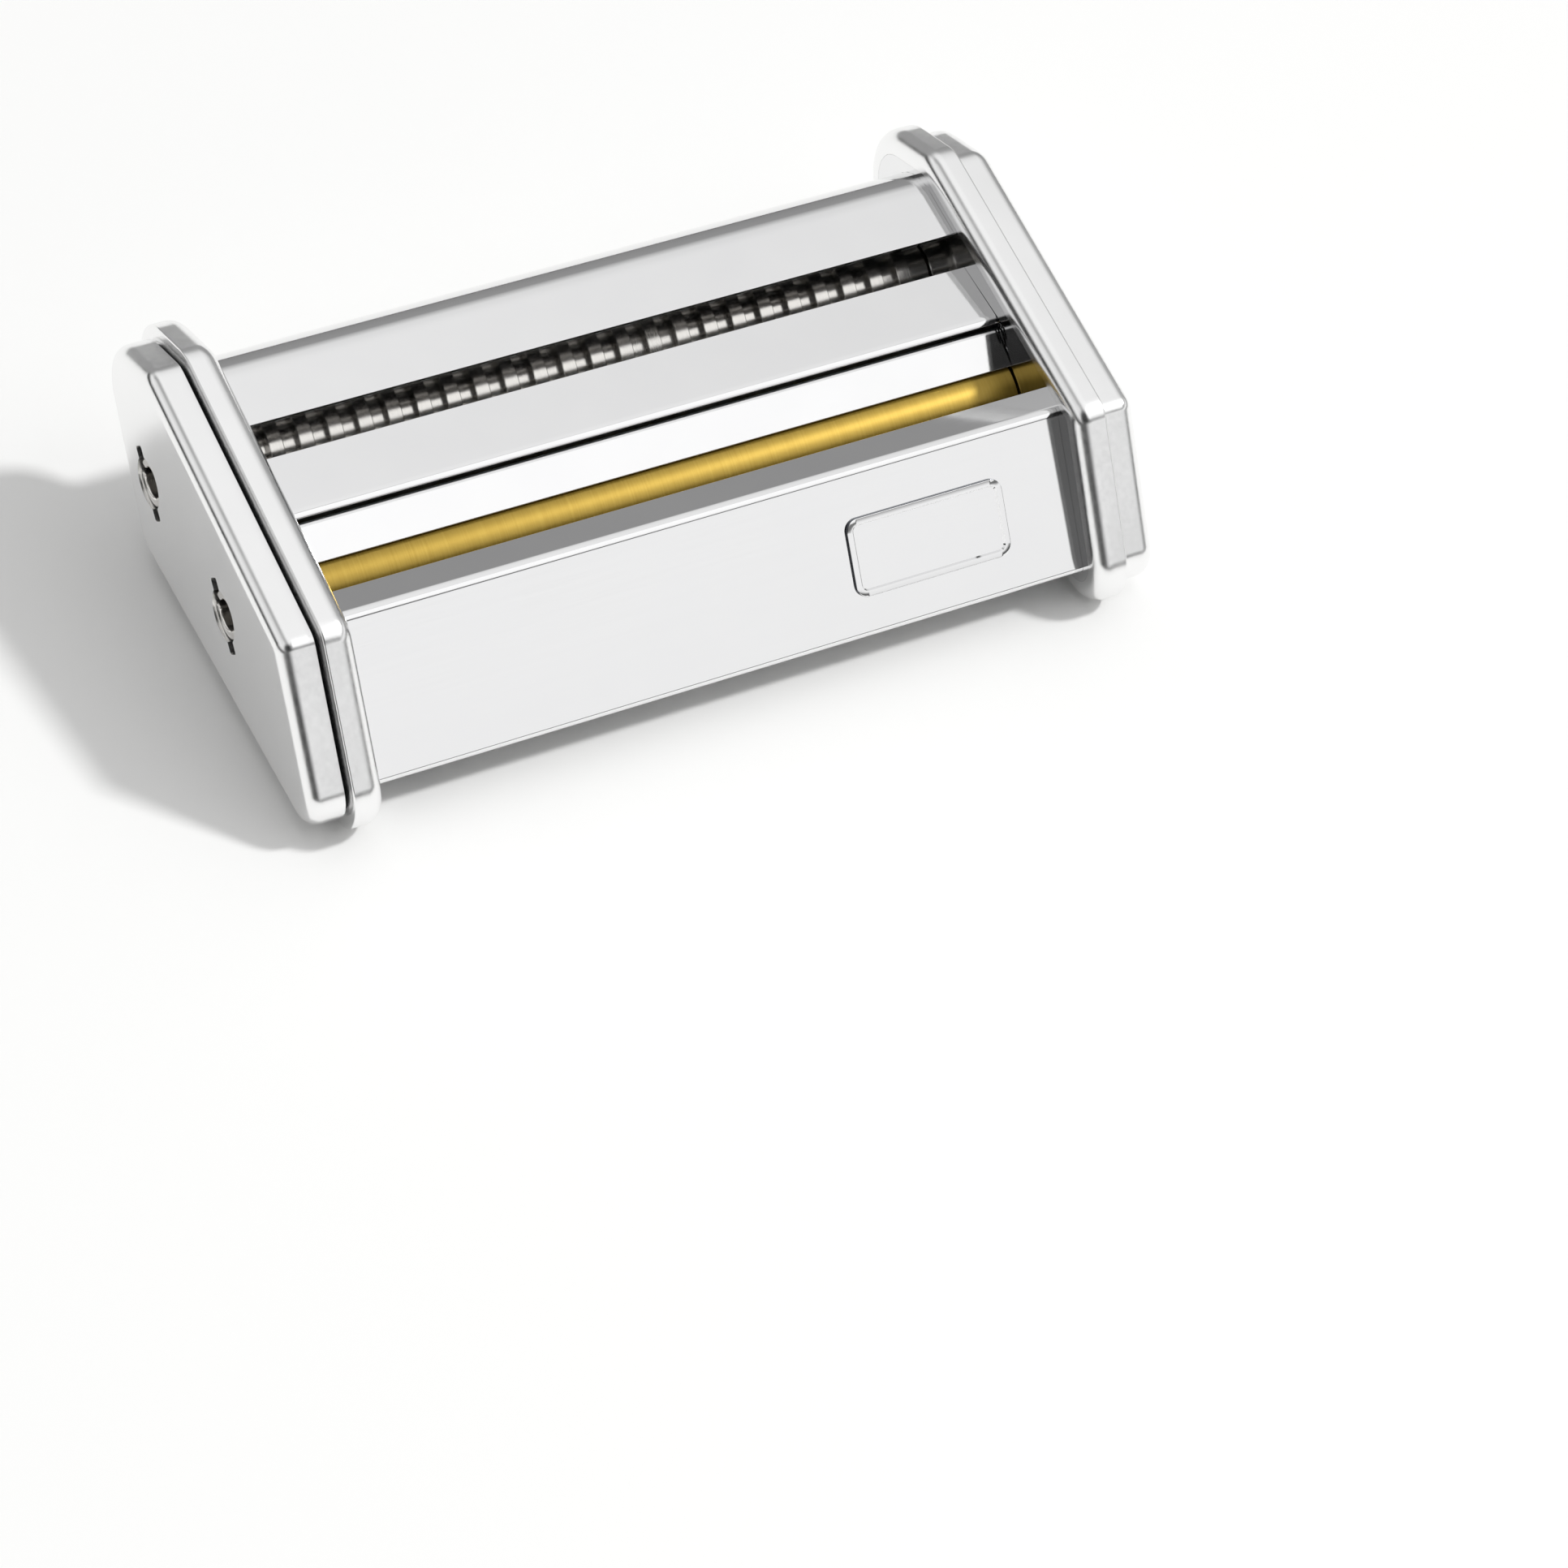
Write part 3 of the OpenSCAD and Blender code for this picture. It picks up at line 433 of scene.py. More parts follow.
# %% Nylon bushes
def moulded_nylon():
    material, tree = blank_material("natural_moulded_nylon")
    place = add(tree, "ShaderNodeTexCoord")
    noise = {"Vector": place.outputs["Object"], "Scale": 1 / (2 * MM), "Detail": 3.0}
    flow = add(tree, "ShaderNodeTexNoise", noise)
    colours = {"Factor": flow, "A": linear("#DEDACB"), "B": linear("#ECE9DF")}
    tone = add(tree, "ShaderNodeMix", colours, data_type="RGBA")
    gloss = add(tree, "ShaderNodeMapRange", {"Value": flow, "To Min": 0.38, "To Max": 0.52})
    inner_light = {
        "Subsurface Weight": 0.2,
        "Subsurface Radius": (0.8, 0.7, 0.5),
        "Subsurface Scale": 1 * MM,
    }
    moulded = {"Base Color": tone, "Roughness": gloss, "IOR": 1.53, **inner_light}
    plastic = add(tree, "ShaderNodeBsdfPrincipled", moulded)
    add(tree, "ShaderNodeOutputMaterial", {"Surface": plastic})
    return material


nylon = moulded_nylon()
print("materials:", len(bpy.data.materials))

# %% [markdown]
# Every CAD node gets one of these finishes, also those that a remodelled piece hides later. One
# line for each of the 45 nodes would do the same, but the name of a node says what it is. So a
# short list of words is enough: the first word found in a name wins, and the last fits them all.

# %% Finishes of the CAD nodes
FINISHES = (
    ("bush", nylon),
    ("gear", sintered),
    ("clip", blued_steel_and_edge_shade),
    ("front_drive_roller", golden),
    ("rim", cast_chrome),
    ("cap", cast_chrome),
    ("panel_screws", zinc_steel),
    ("panel", plated_sheet),
    ("plate", plated_sheet),
    ("cover", plated_sheet),
    ("scraper", zinc_steel),
    ("comb", zinc_steel),
    ("roller", turned_nickel),
    ("shaft", turned_nickel),
    ("socket", turned_nickel),
    ("ring", turned_nickel),
    ("sleeves", turned_nickel),
    ("", zinc_steel),
)
for name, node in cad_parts.items():
    finish = next(material for word, material in FINISHES if word in name)
    node.data.materials.clear()
    node.data.materials.append(finish)
print("finished nodes:", len(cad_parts))

# %% [markdown]
# All pieces below are built in millimetres in the section of the case and moved to metres at the
# very end, so their numbers can be read as on a drawing. finish_piece does that move, writes the
# mesh, shades it smooth except at sharp edges, and says which body carries it. The Weighted Normal
# modifier keeps large flats truly flat beside small curves, where chrome would show any waviness.

# %% Finish a piece
MERGE_DIST = 0.0005


def finish_piece(bm, name, body, material, stands_for=(), sharp=40, edge=0.0, slot=None):
    """Makes an object of bm. sharp is in degrees, and edge is the width of broken edges in mm."""
    bmesh.ops.remove_doubles(bm, verts=bm.verts, dist=MERGE_DIST)
    bmesh.ops.translate(bm, vec=CASE, verts=bm.verts)
    bmesh.ops.scale(bm, vec=(MM, MM, MM), verts=bm.verts)
    mesh = bpy.data.meshes.new(name)
    bm.to_mesh(mesh)
    bm.free()
    mesh.shade_smooth()
    mesh.set_sharp_from_angle(angle=math.radians(sharp))
    mesh.materials.append(material)
    piece = bpy.data.objects.new(name, mesh)
    bpy.context.scene.collection.objects.link(piece)
    if edge:
        breaks = piece.modifiers.new("broken edges", "BEVEL")
        breaks.width = edge * MM
        breaks.segments = 2
        breaks.limit_method = "ANGLE"
        breaks.angle_limit = math.radians(sharp)
    flats = piece.modifiers.new("flat faces stay flat", "WEIGHTED_NORMAL")
    flats.keep_sharp = True
    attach(piece, body)
    if stands_for:
        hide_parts(*stands_for)
    print(name, "faces:", len(mesh.polygons))
    return piece


# %% [markdown]
# Rims, caps and sheets all need rounded corners. A vertex bevel would be short to write, but it
# isn't round at corners that are far from square, and chrome shows that. So each corner is a true
# arc, made by spinning a single vertex about the centre of its corner, and straight edges join the
# arcs into a chain.

# %% True arcs and chains
ARC_STEP = math.radians(6)


def spin_arc(bm, start, centre, turn):
    """Spins a vertex about an X axis and returns the vertices of the arc in order."""
    first = bm.verts.new(start)
    steps = max(2, math.ceil(abs(turn) / ARC_STEP))
    bmesh.ops.spin(bm, geom=[first], cent=centre, axis=(1, 0, 0), angle=turn, steps=steps)
    arc = [first]
    while len(arc) <= steps:
        neighbours = [edge.other_vert(arc[-1]) for edge in arc[-1].link_edges]
        arc.append(next(v for v in neighbours if v not in arc))
    return arc


def join_up(bm, runs, closed):
    """Joins runs of vertices into one chain of edges."""
    chain = [v for run in runs for v in run]
    pairs = list(zip(chain, chain[1:])) + ([(chain[-1], chain[0])] if closed else [])
    for a, b in pairs:
        if not bm.edges.get((a, b)):
            bm.edges.new((a, b))
    return [bm.edges.get(pair) for pair in pairs]


def corner_arc(bm, before, at, after, radius, grow=0.0):
    """Arc that rounds the corner at between two others, grown away from its centre."""
    into = (at - before).normalized()
    out = (after - at).normalized()
    turn = into.cross(out).x
    angle = into.angle(out)
    side = Vector((math.copysign(1, turn), 0, 0)).cross(into)
    centre = at - into * radius * math.tan(angle / 2) + side * radius
    return spin_arc(bm, centre - side * (radius + grow), centre, math.copysign(angle, turn))


print("one vertex for every", round(math.degrees(ARC_STEP)), "degrees of an arc")

# %% [markdown]
# The rims and end caps share one outline with five corners: the foot, the leaning front, the crown
# over the rear rollers, the top of the back and the heel. The rims are a step larger all round, so
# the outline can be grown. It is drawn as a single face, which can be pulled along X into a slab.

# %% Outline of the case
front_top = Vector((0, FRONT_H * math.tan(LEAN), FRONT_H))
crown = Vector((0, rear_drive_y + CROWN_BEHIND_AXIS, CROWN_H))
back_top = Vector((0, BASE_D + BACK_H * math.tan(LEAN), BACK_H))
CORNERS = (Vector((0, 0, 0)), front_top, crown, back_top, Vector((0, BASE_D, 0)))


def case_outline(bm, x, grow):
    """Face of the outline at the plane X = x."""
    shift = Vector((x, 0, 0))
    runs = []
    for i, radius in enumerate(CORNER_R):
        before, at, after = CORNERS[i - 1], CORNERS[i], CORNERS[(i + 1) % len(CORNERS)]
        runs.append(corner_arc(bm, before + shift, at + shift, after + shift, radius, grow))
    edges = join_up(bm, runs, closed=True)
    return bmesh.ops.edgeloop_fill(bm, edges=edges)["faces"][0]


print("corners of the outline, mm:", [(round(c.y, 1), round(c.z, 1)) for c in CORNERS])

# %% [markdown]
# Castings are shaped as on a bench: a slab is pulled out of the outline, a flat end of it is found
# by its place, its edge is rounded, and its middle is set in. Each step is one small function.
# Boolean cuts would be quicker to plan, but they leave slivers along the rounds. The operator that
# extrudes keeps the face it starts from, when it is given that face without its edges. So a slab is
# closed at both ends.

# %% Pull, find, round and set in
SAME_PLANE = 0.01


def pull(bm, face, by):
    """Extrudes a face along X and returns the new end face. The old face stays where it is."""
    made = bmesh.ops.extrude_face_region(bm, geom=[face])["geom"]
    moved = [v for v in made if isinstance(v, bmesh.types.BMVert)]
    bmesh.ops.translate(bm, vec=(by, 0, 0), verts=moved)
    return next(f for f in made if isinstance(f, bmesh.types.BMFace))


def face_at(bm, x):
    """Largest face that lies in the plane X = x."""
    flat = [f for f in bm.faces if all(abs(v.co.x - x) < SAME_PLANE for v in f.verts)]
    return max(flat, key=lambda f: f.calc_area())


def round_edge(bm, face, by, segments):
    """Bevels the edges round a face."""
    bmesh.ops.bevel(
        bm,
        geom=list(face.edges),
        offset=by,
        segments=segments,
        profile=0.5,
        affect="EDGES",
        clamp_overlap=True,
        material=-1,
    )


def set_in(bm, face, by):
    """Insets a face, which stays the middle one, and returns it."""
    bmesh.ops.inset_region(bm, faces=[face], thickness=by, use_even_offset=True, use_boundary=True)
    return face


def flip_to_left(bm):
    """Mirrors a piece of the right end to the left, and turns its faces outwards again."""
    bmesh.ops.scale(bm, vec=(-1, 1, 1), verts=bm.verts)
    bmesh.ops.reverse_faces(bm, faces=bm.faces)


# %% [markdown]
# A rim is the thick flange round each end of the head: a flat ring with a generous round on its
# inner edge and a fine break on its outer one. It starts as a slab of the outline and both edges
# are bevelled. Then the middle goes: the two flat faces are inset to the width of the side plate,
# deleted, and their edges bridged into a wall. Both ends come from one function, so they match.

# %% Rims
RIM_BREAK = 0.4


def make_rim(left):
    bm = bmesh.new()
    pull(bm, case_outline(bm, HALF_W, RIM_STEP), RIM_X - HALF_W)
    round_edge(bm, face_at(bm, HALF_W), RIM_ROUND, 10)
    round_edge(bm, face_at(bm, RIM_X), RIM_BREAK, 3)
    inner = set_in(bm, face_at(bm, HALF_W), PLATE_INSET + RIM_STEP - RIM_ROUND)
    outer = set_in(bm, face_at(bm, RIM_X), PLATE_INSET + RIM_STEP - RIM_BREAK)
    loops = list(inner.edges) + list(outer.edges)
    bmesh.ops.delete(bm, geom=[inner, outer], context="FACES_ONLY")
    bmesh.ops.bridge_loops(bm, edges=loops)
    bmesh.ops.recalc_face_normals(bm, faces=bm.faces)
    if left:
        flip_to_left(bm)
    name = "left_rim" if left else "right_rim"
    return finish_piece(bm, name + "_casting", "case", cast_chrome, [name], slot="chromed_casing")


for is_left in (True, False):
    make_rim(is_left)

# %% [markdown]
# The left end cap has two holes for the crank, each with a pair of notches that the cross pin of
# the crank passes. A hole is drawn as two arcs and two notches, and the tips of the notches are
# rounded, as a punch leaves them. The flat faces are then refilled with triangle_fill, which
# accepts holes in its outline. A boolean would cut the same hole, but in less regular faces.

# %% Crank holes
HOLE_R = 5.2
NOTCH_LEN = 14.7
NOTCH_W = 3.1
NOTCH_TURN = math.radians(45)
NOTCH_ROUND = 0.5


def crank_hole_edges(bm, x, axis_y):
    """Edge loop of a round hole with two notches, in the plane X = x."""
    centre = Vector((x, axis_y, AXIS_H))
    half = math.asin(NOTCH_W / 2 / HOLE_R)
    far = NOTCH_LEN / 2
    runs = []
    for turned in (0, math.pi):
        spin_to = Matrix.Rotation(NOTCH_TURN + turned, 3, "X")
        start = centre + spin_to @ Vector((0, HOLE_R * math.cos(half), HOLE_R * math.sin(half)))
        runs.append(spin_arc(bm, start, centre, math.pi - 2 * half))
        notch = [Vector((0, -far, NOTCH_W / 2)), Vector((0, -far, -NOTCH_W / 2))]
        runs.append([bm.verts.new(centre + spin_to @ corner) for corner in notch])
    join_up(bm, runs, closed=True)
    tips = runs[1] + runs[3]
    bmesh.ops.bevel(
        bm, geom=tips, offset=NOTCH_ROUND, segments=4, profile=0.5, affect="VERTICES", material=-1
    )
    return [e for e in bm.edges if e.is_wire]


def refill_with_holes(bm, face, axes):
    """Swaps a flat face for one with crank holes, and returns the edges of each hole."""
    x = face.calc_center_median().x
    outer = list(face.edges)
    bmesh.ops.delete(bm, geom=[face], context="FACES_ONLY")
    holes = []
    known = set()
    for axis_y in axes:
        holes.append([e for e in crank_hole_edges(bm, x, axis_y) if e not in known])
        known.update(holes[-1])
    rim = outer + [e for hole in holes for e in hole]
    bmesh.ops.triangle_fill(bm, use_beauty=True, edges=rim, normal=(1, 0, 0))
    return holes


# %% [markdown]
# An end cap is a shallow hollow casting that closes the head outside each rim. A narrow neck sets
# it off from the rim. A line painted on the rim would look flat, so the neck is real: the inner face
# is inset and pulled back to the rim, and its walls get a near black painted shade, which draws the
# dark line between the two and which the walls of the hollow take over. From the neck the hollow is
# pulled up to the ceiling. On the left, the ceiling and the outer face get the crank holes, and the
# two ends of each hole are bridged. The faces that neck and hollow are pulled from stay in the mesh:
# one inside the metal, and one across the mouth of the hollow, whose painted shade is the dark floor
# under the crank holes.

# %% End caps
NECK = 0.8
NECK_DEPTH = 1.4


def make_cap(left):
    bm = bmesh.new()
    pull(bm, case_outline(bm, RIM_X + NECK, 0), CAP_X - RIM_X - NECK)
    round_edge(bm, face_at(bm, CAP_X), CAP_ROUND, 8)
    neck = set_in(bm, face_at(bm, RIM_X + NECK), NECK_DEPTH)
    before = set(bm.faces)
    neck = pull(bm, neck, -NECK)
    # The neck walls and its end face get slot 1, the near black painted shade of the gap, which the hollow
    # takes over
    for wall in set(bm.faces) - before:
        wall.material_index = 1
    hollow = set_in(bm, neck, CAP_WALL - NECK_DEPTH)
    ceiling = pull(bm, hollow, CAP_X - CAP_WALL - RIM_X)
    if left:
        axes = (front_drive_y, rear_drive_y)
        inner_holes = refill_with_holes(bm, ceiling, axes)
        outer_holes = refill_with_holes(bm, face_at(bm, CAP_X), axes)
        for inner_hole, outer_hole in zip(inner_holes, outer_holes):
            bmesh.ops.bridge_loops(bm, edges=inner_hole + outer_hole)
    bmesh.ops.recalc_face_normals(bm, faces=bm.faces)
    if left:
        flip_to_left(bm)
    name = "left_end_cap" if left else "right_end_cap"
    cap = finish_piece(bm, name + "_casting", "case", cast_chrome, [name], slot="chromed_casing")
    # Slot 1: the painted shade in the neck and the hollow
    cap.data.materials.append(gap_shade_paint)
    return cap


for is_left in (True, False):
    make_cap(is_left)

# %% [markdown]
# The four covers are bent from one thickness of sheet. Each is a path of straight runs and true
# bends in the section, pulled along X and given its thickness to the inside. A curve with a bevel
# would also make a bent sheet, but it measures its thickness both ways from the path, and the sizes
# here are those of the outside. The path is open, so nothing tells its inside from its outside, and
# the order of the faces isn't fixed. Its first run is therefore found by its place, and it settles
# which way all the faces point: outwards, where the path runs up the front and over to the back.

# %% Bent sheet
SHEET_BREAK = 0.12


def bent_sheet(name, corners, node):
    """corners: (y, z) at the ends and (y, z, bend radius) between them, on the outside."""
    bm = bmesh.new()
    reach = HALF_W + GROOVE_D
    points = [Vector((-reach, c[0], c[1])) for c in corners]
    runs = [[bm.verts.new(points[0])]]
    for i in range(1, len(points) - 1):
        runs.append(corner_arc(bm, points[i - 1], points[i], points[i + 1], corners[i][2]))
    runs.append([bm.verts.new(points[-1])])
    edges = join_up(bm, runs, closed=False)
    made = bmesh.ops.extrude_edge_only(bm, edges=edges)["geom"]
    moved = [v for v in made if isinstance(v, bmesh.types.BMVert)]
    bmesh.ops.translate(bm, vec=(2 * reach, 0, 0), verts=moved)
    bmesh.ops.recalc_face_normals(bm, faces=bm.faces)
    start = Vector((0, points[0].y, points[0].z))
    first = min(bm.faces, key=lambda f: (f.calc_center_median() - start).length)
    outwards = Vector((1, 0, 0)).cross(points[1] - points[0])
    if first.normal.dot(outwards) < 0:
        bmesh.ops.reverse_faces(bm, faces=bm.faces)
    bmesh.ops.solidify(bm, geom=list(bm.faces), thickness=SHEET_T)
    return finish_piece(bm, name, "case", plated_sheet, [node], edge=SHEET_BREAK, slot="polished_sheet")


# %% [markdown]
# The front panel is the large bright face. It leans back with the case, turns in at the foot to
# meet the tie bar, and turns in at the top into a lip that guides the dough into the front slot.
# All its bends belong to one sheet, so the panel is one path from the end of the foot to the lip.

# %% Front panel
PANEL_FOOT_H = 5.2
PANEL_FOOT_D = 11.5
PANEL_FOOT_INSET = 4.2
PANEL_FOOT_BEND = 1.2
PANEL_TOP_H = 32.7
PANEL_TOP_INSET = 5.4
PANEL_TOP_BEND = 2
PANEL_LIP = 7.9
PANEL_LIP_DROP = 2.2


def on_front(inset, z):
    """Y of a point inside the leaning front of the case, at the height z."""
    return z * math.tan(LEAN) + inset / math.cos(LEAN)


panel_foot_y = on_front(PANEL_FOOT_INSET, PANEL_FOOT_H)
panel_top_y = on_front(PANEL_TOP_INSET, PANEL_TOP_H)
panel_path = [
    (panel_foot_y + PANEL_FOOT_D, PANEL_FOOT_H),
    (panel_foot_y, PANEL_FOOT_H, PANEL_FOOT_BEND),
    (panel_top_y, PANEL_TOP_H, PANEL_TOP_BEND),
    (panel_top_y + PANEL_LIP, PANEL_TOP_H - PANEL_LIP_DROP),
]
bent_sheet("front_panel_sheet", panel_path, "front_panel")

# %% [markdown]
# Two sheets lie between the slots. The feed plate slopes down to the front roller and ends at the
# top in a short flange. The middle cover begins just above that flange and falls a little to the
# front, where its edge is rolled down. The roll catches the dark of the tent in one thin black line,
# so it is a true bend with a short run after it. A plain cut edge would only show a bright rim.

# %% Middle cover and feed plate
MIDDLE_H = 35.2
MIDDLE_W = 14
MIDDLE_FALL = 0.75
MIDDLE_BEND = 2.35
ROLL_DROP = 0.92
ROLL_LEAN = 0.84
FEED_FOOT = (45.63, 28.37)
FEED_TOP = (52.3, 32.87)
FEED_BEND = 1
FLANGE_D = 1.4
FLANGE_DROP = 2.2

middle_front_y = rear_idle_y - MIDDLE_W
middle_front_h = MIDDLE_H - MIDDLE_FALL
middle_path = [
    (middle_front_y - ROLL_LEAN * ROLL_DROP, middle_front_h - ROLL_DROP),
    (middle_front_y, middle_front_h, MIDDLE_BEND),
    (rear_idle_y, MIDDLE_H),
]
bent_sheet("middle_cover_sheet", middle_path, "middle_cover")
feed_path = [FEED_FOOT, (*FEED_TOP, FEED_BEND), (FEED_TOP[0] + FLANGE_D, FEED_TOP[1] - FLANGE_DROP)]
bent_sheet("feed_plate_sheet", feed_path, "feed_plate")

# %% [markdown]
# The back cover begins behind the rear slot, goes over the crown in one wide bend and follows the
# leaning back down to the heel. Sheet is rolled at a wide bend and folded at a tight one, so the
# crown has a radius of 12 mm and the bend below it 4 mm.

# %% Back cover
BACK_INSET = 2.4
BACK_FOOT_H = 5
CROWN_BEND = 12
BACK_BEND = 4
BACK_BEND_H = AXIS_H + 6.9
# Front edge, from the axis of the rear idle roller and the middle cover, and crown, from the outline
COVER_FRONT = (5.3, 4.2)
COVER_CROWN = (4.9, -2.8)


def on_back(inset, z):
    """Y of a point inside the leaning back of the case, at the height z."""
    return BASE_D + z * math.tan(LEAN) - inset / math.cos(LEAN)


back_path = [
    (rear_idle_y + COVER_FRONT[0], MIDDLE_H + COVER_FRONT[1]),
    (crown.y + COVER_CROWN[0], crown.z + COVER_CROWN[1], CROWN_BEND),
    (on_back(BACK_INSET, BACK_BEND_H), BACK_BEND_H, BACK_BEND),
    (on_back(BACK_INSET, BACK_FOOT_H), BACK_FOOT_H),
]
bent_sheet("back_cover_sheet", back_path, "back_cover")

# %% [markdown]
# The front panel carries a shallow pressed frame for a badge, and its field is bare. The frame is a
# plate with rounded corners laid on the panel: its upper edge is bevelled, and its middle is set in
# and pushed down. A line bumped into the panel would vanish in chrome, but a real step reflects. Its
# sides get the dark grey of blued steel as painted shade, the shade of their own step, which outlines
# the frame.

# %% Bare badge frame
# From the middle of the head to the right, and from the top of the panel down its slope
BADGE_X = (26.8, 60.4)
BADGE_DOWN = (9.5, 25)
BADGE_ROUND = 2.5
BADGE_T = 0.7
BADGE_BREAK = 0.2
BADGE_BORDER = 1.0
FIELD_STEP = 0.3
FIELD_DEPTH = 0.4
BADGE_SUNK = 0.05


def badge_frame():
    bm = bmesh.new()
    foot = Vector((0, panel_foot_y, PANEL_FOOT_H))
    top = Vector((0, panel_top_y, PANEL_TOP_H))
    slope = (top - foot).normalized()
    outwards = slope.cross(Vector((1, 0, 0)))
    if outwards.y > 0:
        outwards = -outwards
    bmesh.ops.create_grid(bm, x_segments=1, y_segments=1, size=0.5)
    bmesh.ops.scale(bm, vec=(BADGE_X[1] - BADGE_X[0], BADGE_DOWN[1] - BADGE_DOWN[0], 1), verts=bm.verts)
    bmesh.ops.bevel(
        bm, geom=bm.verts[:], offset=BADGE_ROUND, segments=8, profile=0.5, affect="VERTICES", material=-1
    )
    raised = bmesh.ops.extrude_face_region(bm, geom=bm.faces[:])["geom"]
    moved = [v for v in raised if isinstance(v, bmesh.types.BMVert)]
    bmesh.ops.translate(bm, vec=(0, 0, BADGE_T), verts=moved)
    # Painted shade: the sides of the frame get slot 1, the dark grey
    for side in bm.faces:
        if side.calc_center_median().z < BADGE_T * 0.75:
            side.material_index = 1
    field = next(f for f in raised if isinstance(f, bmesh.types.BMFace))
    round_edge(bm, field, BADGE_BREAK, 2)
    # After the bevel the field is the largest of the faces on top
    field = max(bm.faces, key=lambda f: f.calc_center_median().z * 1000 + f.calc_area())
    bmesh.ops.inset_region(bm, faces=[field], thickness=BADGE_BORDER, use_even_offset=True)
    bmesh.ops.inset_region(bm, faces=[field], thickness=FIELD_STEP, depth=-FIELD_DEPTH, use_even_offset=True)
    bmesh.ops.recalc_face_normals(bm, faces=bm.faces)
    along = Vector((sum(BADGE_X) / 2, 0, 0))
    middle = top - slope * sum(BADGE_DOWN) / 2 + along - outwards * BADGE_SUNK
    stand = Matrix((Vector((1, 0, 0)), slope, outwards)).transposed().to_4x4()
    bmesh.ops.transform(bm, matrix=Matrix.Translation(middle) @ stand, verts=bm.verts)
    piece = finish_piece(bm, "badge_frame", "case", plated_sheet, sharp=30, slot="polished_sheet")
    # Slot 1 is the painted shade on the sides of the frame
    piece.data.materials.append(blued_steel_and_edge_shade)
    return piece


badge_frame()

# %% [markdown]
# Rollers and sockets come off a lathe, and a spin is Blender's lathe: one half profile, turned about
# its axis. The outer edges of a roller are broken a little, as a turner does, because that is where
# turned metal catches the light. A bevel modifier would do it too, but it would also break the edges
# at the foot of each groove, where the real tool leaves none.

# %% Lathe
SPIN_STEPS = 72
EDGE_BREAK = 0.15


def broken(profile):
    """Breaks the outer corners of a profile of (radius, x), where a length meets a step down."""
    by = EDGE_BREAK
    points = [profile[0]]
    for before, at, after in zip(profile, profile[1:], profile[2:]):
        outer = min(before[0], after[0]) < at[0] - by
        level = before[0] == at[0] or after[0] == at[0]
        if outer and level:
            into = math.copysign(1, at[1] - before[1]) if before[0] == at[0] else 0
            out = math.copysign(1, after[1] - at[1]) if after[0] == at[0] else 0
            first = (at[0], at[1] - into * by) if into else (at[0] - by, at[1])
            second = (at[0], at[1] + out * by) if out else (at[0] - by, at[1])
            points += [first, second]
        else:
            points.append(at)
    return points + [profile[-1]]


def lathe(bm, profile, axis_y):
    """Spins a profile of (radius, x) about the X axis at axis_y."""
    verts = [bm.verts.new((x, axis_y, AXIS_H + radius)) for radius, x in profile]
    geom = verts + join_up(bm, [verts], closed=False)
    whole = {"axis": (1, 0, 0), "angle": math.tau, "steps": SPIN_STEPS, "use_merge": True}
    bmesh.ops.spin(bm, geom=geom, cent=(0, axis_y, AXIS_H), **whole)
    bmesh.ops.remove_doubles(bm, verts=bm.verts, dist=MERGE_DIST)
    bmesh.ops.recalc_face_normals(bm, faces=bm.faces)


def turned_piece(name, profile, axis_y, body, material, slot):
    """Turns a roller, which stands for the roller node of its body."""
    bm = bmesh.new()
    lathe(bm, broken(profile), axis_y)
    return finish_piece(bm, name, body, material, [body + "_roller"], sharp=30, slot=slot)


# %% [markdown]
# The rear rollers cut the narrow noodles. Each is turned from one bar with a row of discs and
# grooves, and the two rows stand half a pitch apart, so that the discs of one reach into the grooves
# of the other. The front roller that shows is a plain golden sleeve, over which the dough is drawn
# in. One profile for each is shorter than two dozen separate rings, and it is one solid, as it is
# in metal.

# %% Turned rollers
JOURNAL_END = HALF_W + 4.5
SLEEVE_END = 74.7
JOURNAL_R = 4
SLEEVE_R = 8.6
SLEEVE_BORE_R = 5
CORE_R = 7
DISC_R = 8.8
DISC_W = 2.9
DISC_PITCH = 6.1
DISC_COUNT = 24


def disc_profile(side):
    """Profile of a rear roller, moved a quarter pitch to the left or right by side."""
    journal = ((CORE_R, SLEEVE_END), (JOURNAL_R, SLEEVE_END), (JOURNAL_R, JOURNAL_END), (0, JOURNAL_END))
    points = [(radius, -x) for radius, x in reversed(journal)]
    for i in range(DISC_COUNT):
        x = (i - (DISC_COUNT - 1) / 2 + side / 4) * DISC_PITCH
        for radius, edge_x in ((CORE_R, -1), (DISC_R, -1), (DISC_R, 1), (CORE_R, 1)):
            points.append((radius, x + edge_x * DISC_W / 2))
    return points + list(journal)


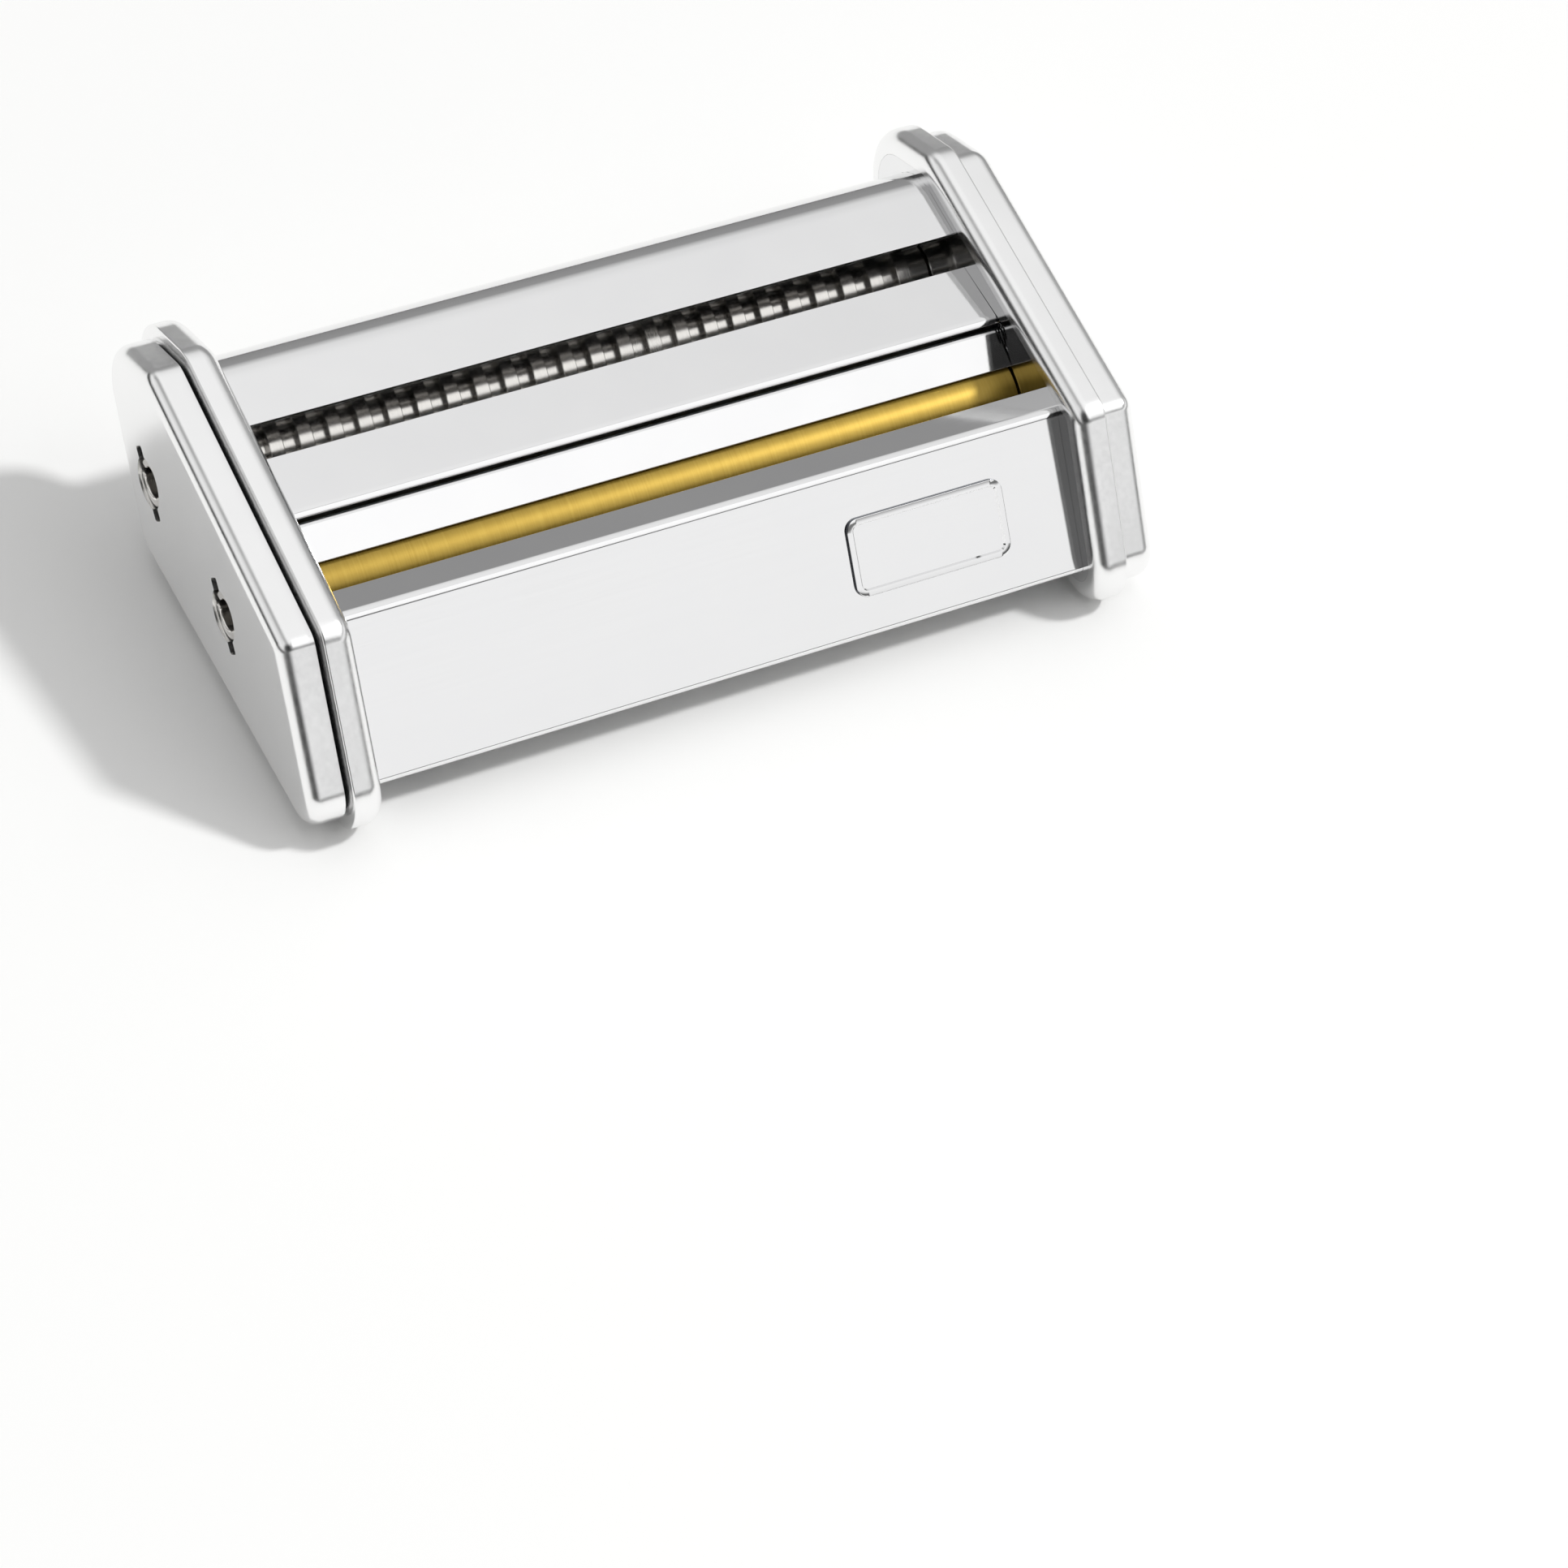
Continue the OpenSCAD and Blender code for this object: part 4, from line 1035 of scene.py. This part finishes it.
bore = [(SLEEVE_BORE_R, SLEEVE_END), (SLEEVE_BORE_R, -SLEEVE_END)]
sleeve = [bore[-1], (SLEEVE_R, -SLEEVE_END), (SLEEVE_R, SLEEVE_END), *bore]
drive_discs, idle_discs = disc_profile(-1), disc_profile(1)
nickel = (turned_nickel, "plated_cutters")
turned_piece("rear_drive_cutter", drive_discs, rear_drive_y, "rear_drive", *nickel)
turned_piece("rear_idle_cutter", idle_discs, rear_idle_y, "rear_idle", *nickel)
turned_piece("golden_sleeve", sleeve, front_drive_y, "front_drive", golden, "golden_roller")

# %% [markdown]
# The crank pushes into a slotted socket behind each hole of the left cap, and its cross pin drops
# into the slot. The lower length is a plain turned ring. The slotted length is two half rings, each
# drawn as a face and pulled along X, so that the slot is as wide at the bore as at the outside. A
# full ring with a few of its faces deleted would have a slot that widens outwards.

# %% Crank sockets
SOCKET_R = 4.8
SOCKET_BORE_R = 3.1
SOCKET_SLOT = 1.9
SOCKET_SLOT_D = 5
SOCKET_FOOT_X = 79.1
SOCKET_X = 88.5
SOCKET_BREAK = 0.3


def half_ring(bm, centre, turned):
    """One half of the slotted length, turned about the axis by an angle."""
    spin_to = Matrix.Rotation(turned, 3, "X")
    runs = []
    for radius, way in ((SOCKET_R, 1), (SOCKET_BORE_R, -1)):
        half = math.asin(SOCKET_SLOT / 2 / radius)
        start = spin_to @ Vector((0, way * radius * math.cos(half), radius * math.sin(half)))
        runs.append(spin_arc(bm, centre + start, centre, way * (math.pi - 2 * half)))
    edges = join_up(bm, runs, closed=True)
    face = bmesh.ops.edgeloop_fill(bm, edges=edges)["faces"][0]
    pull(bm, face, SOCKET_SLOT_D)


def crank_socket(end, axis_y):
    """Socket of the front or the rear crank."""
    bm = bmesh.new()
    slot_x = SOCKET_X - SOCKET_SLOT_D
    foot, top = (SOCKET_BORE_R, SOCKET_FOOT_X), (SOCKET_BORE_R, slot_x)
    lathe(bm, [foot, (SOCKET_R, SOCKET_FOOT_X), (SOCKET_R, slot_x), top, foot], axis_y)
    for turned in (0, math.pi):
        half_ring(bm, Vector((slot_x, axis_y, AXIS_H)), turned)
    bmesh.ops.recalc_face_normals(bm, faces=bm.faces)
    flip_to_left(bm)
    node, body = end + "_crank_socket", end + "_drive"
    edges = {"sharp": 30, "edge": SOCKET_BREAK}
    return finish_piece(bm, node + "_ring", body, turned_nickel, [node], slot="plated_cutters", **edges)


crank_socket("front", front_drive_y)
crank_socket("rear", rear_drive_y)
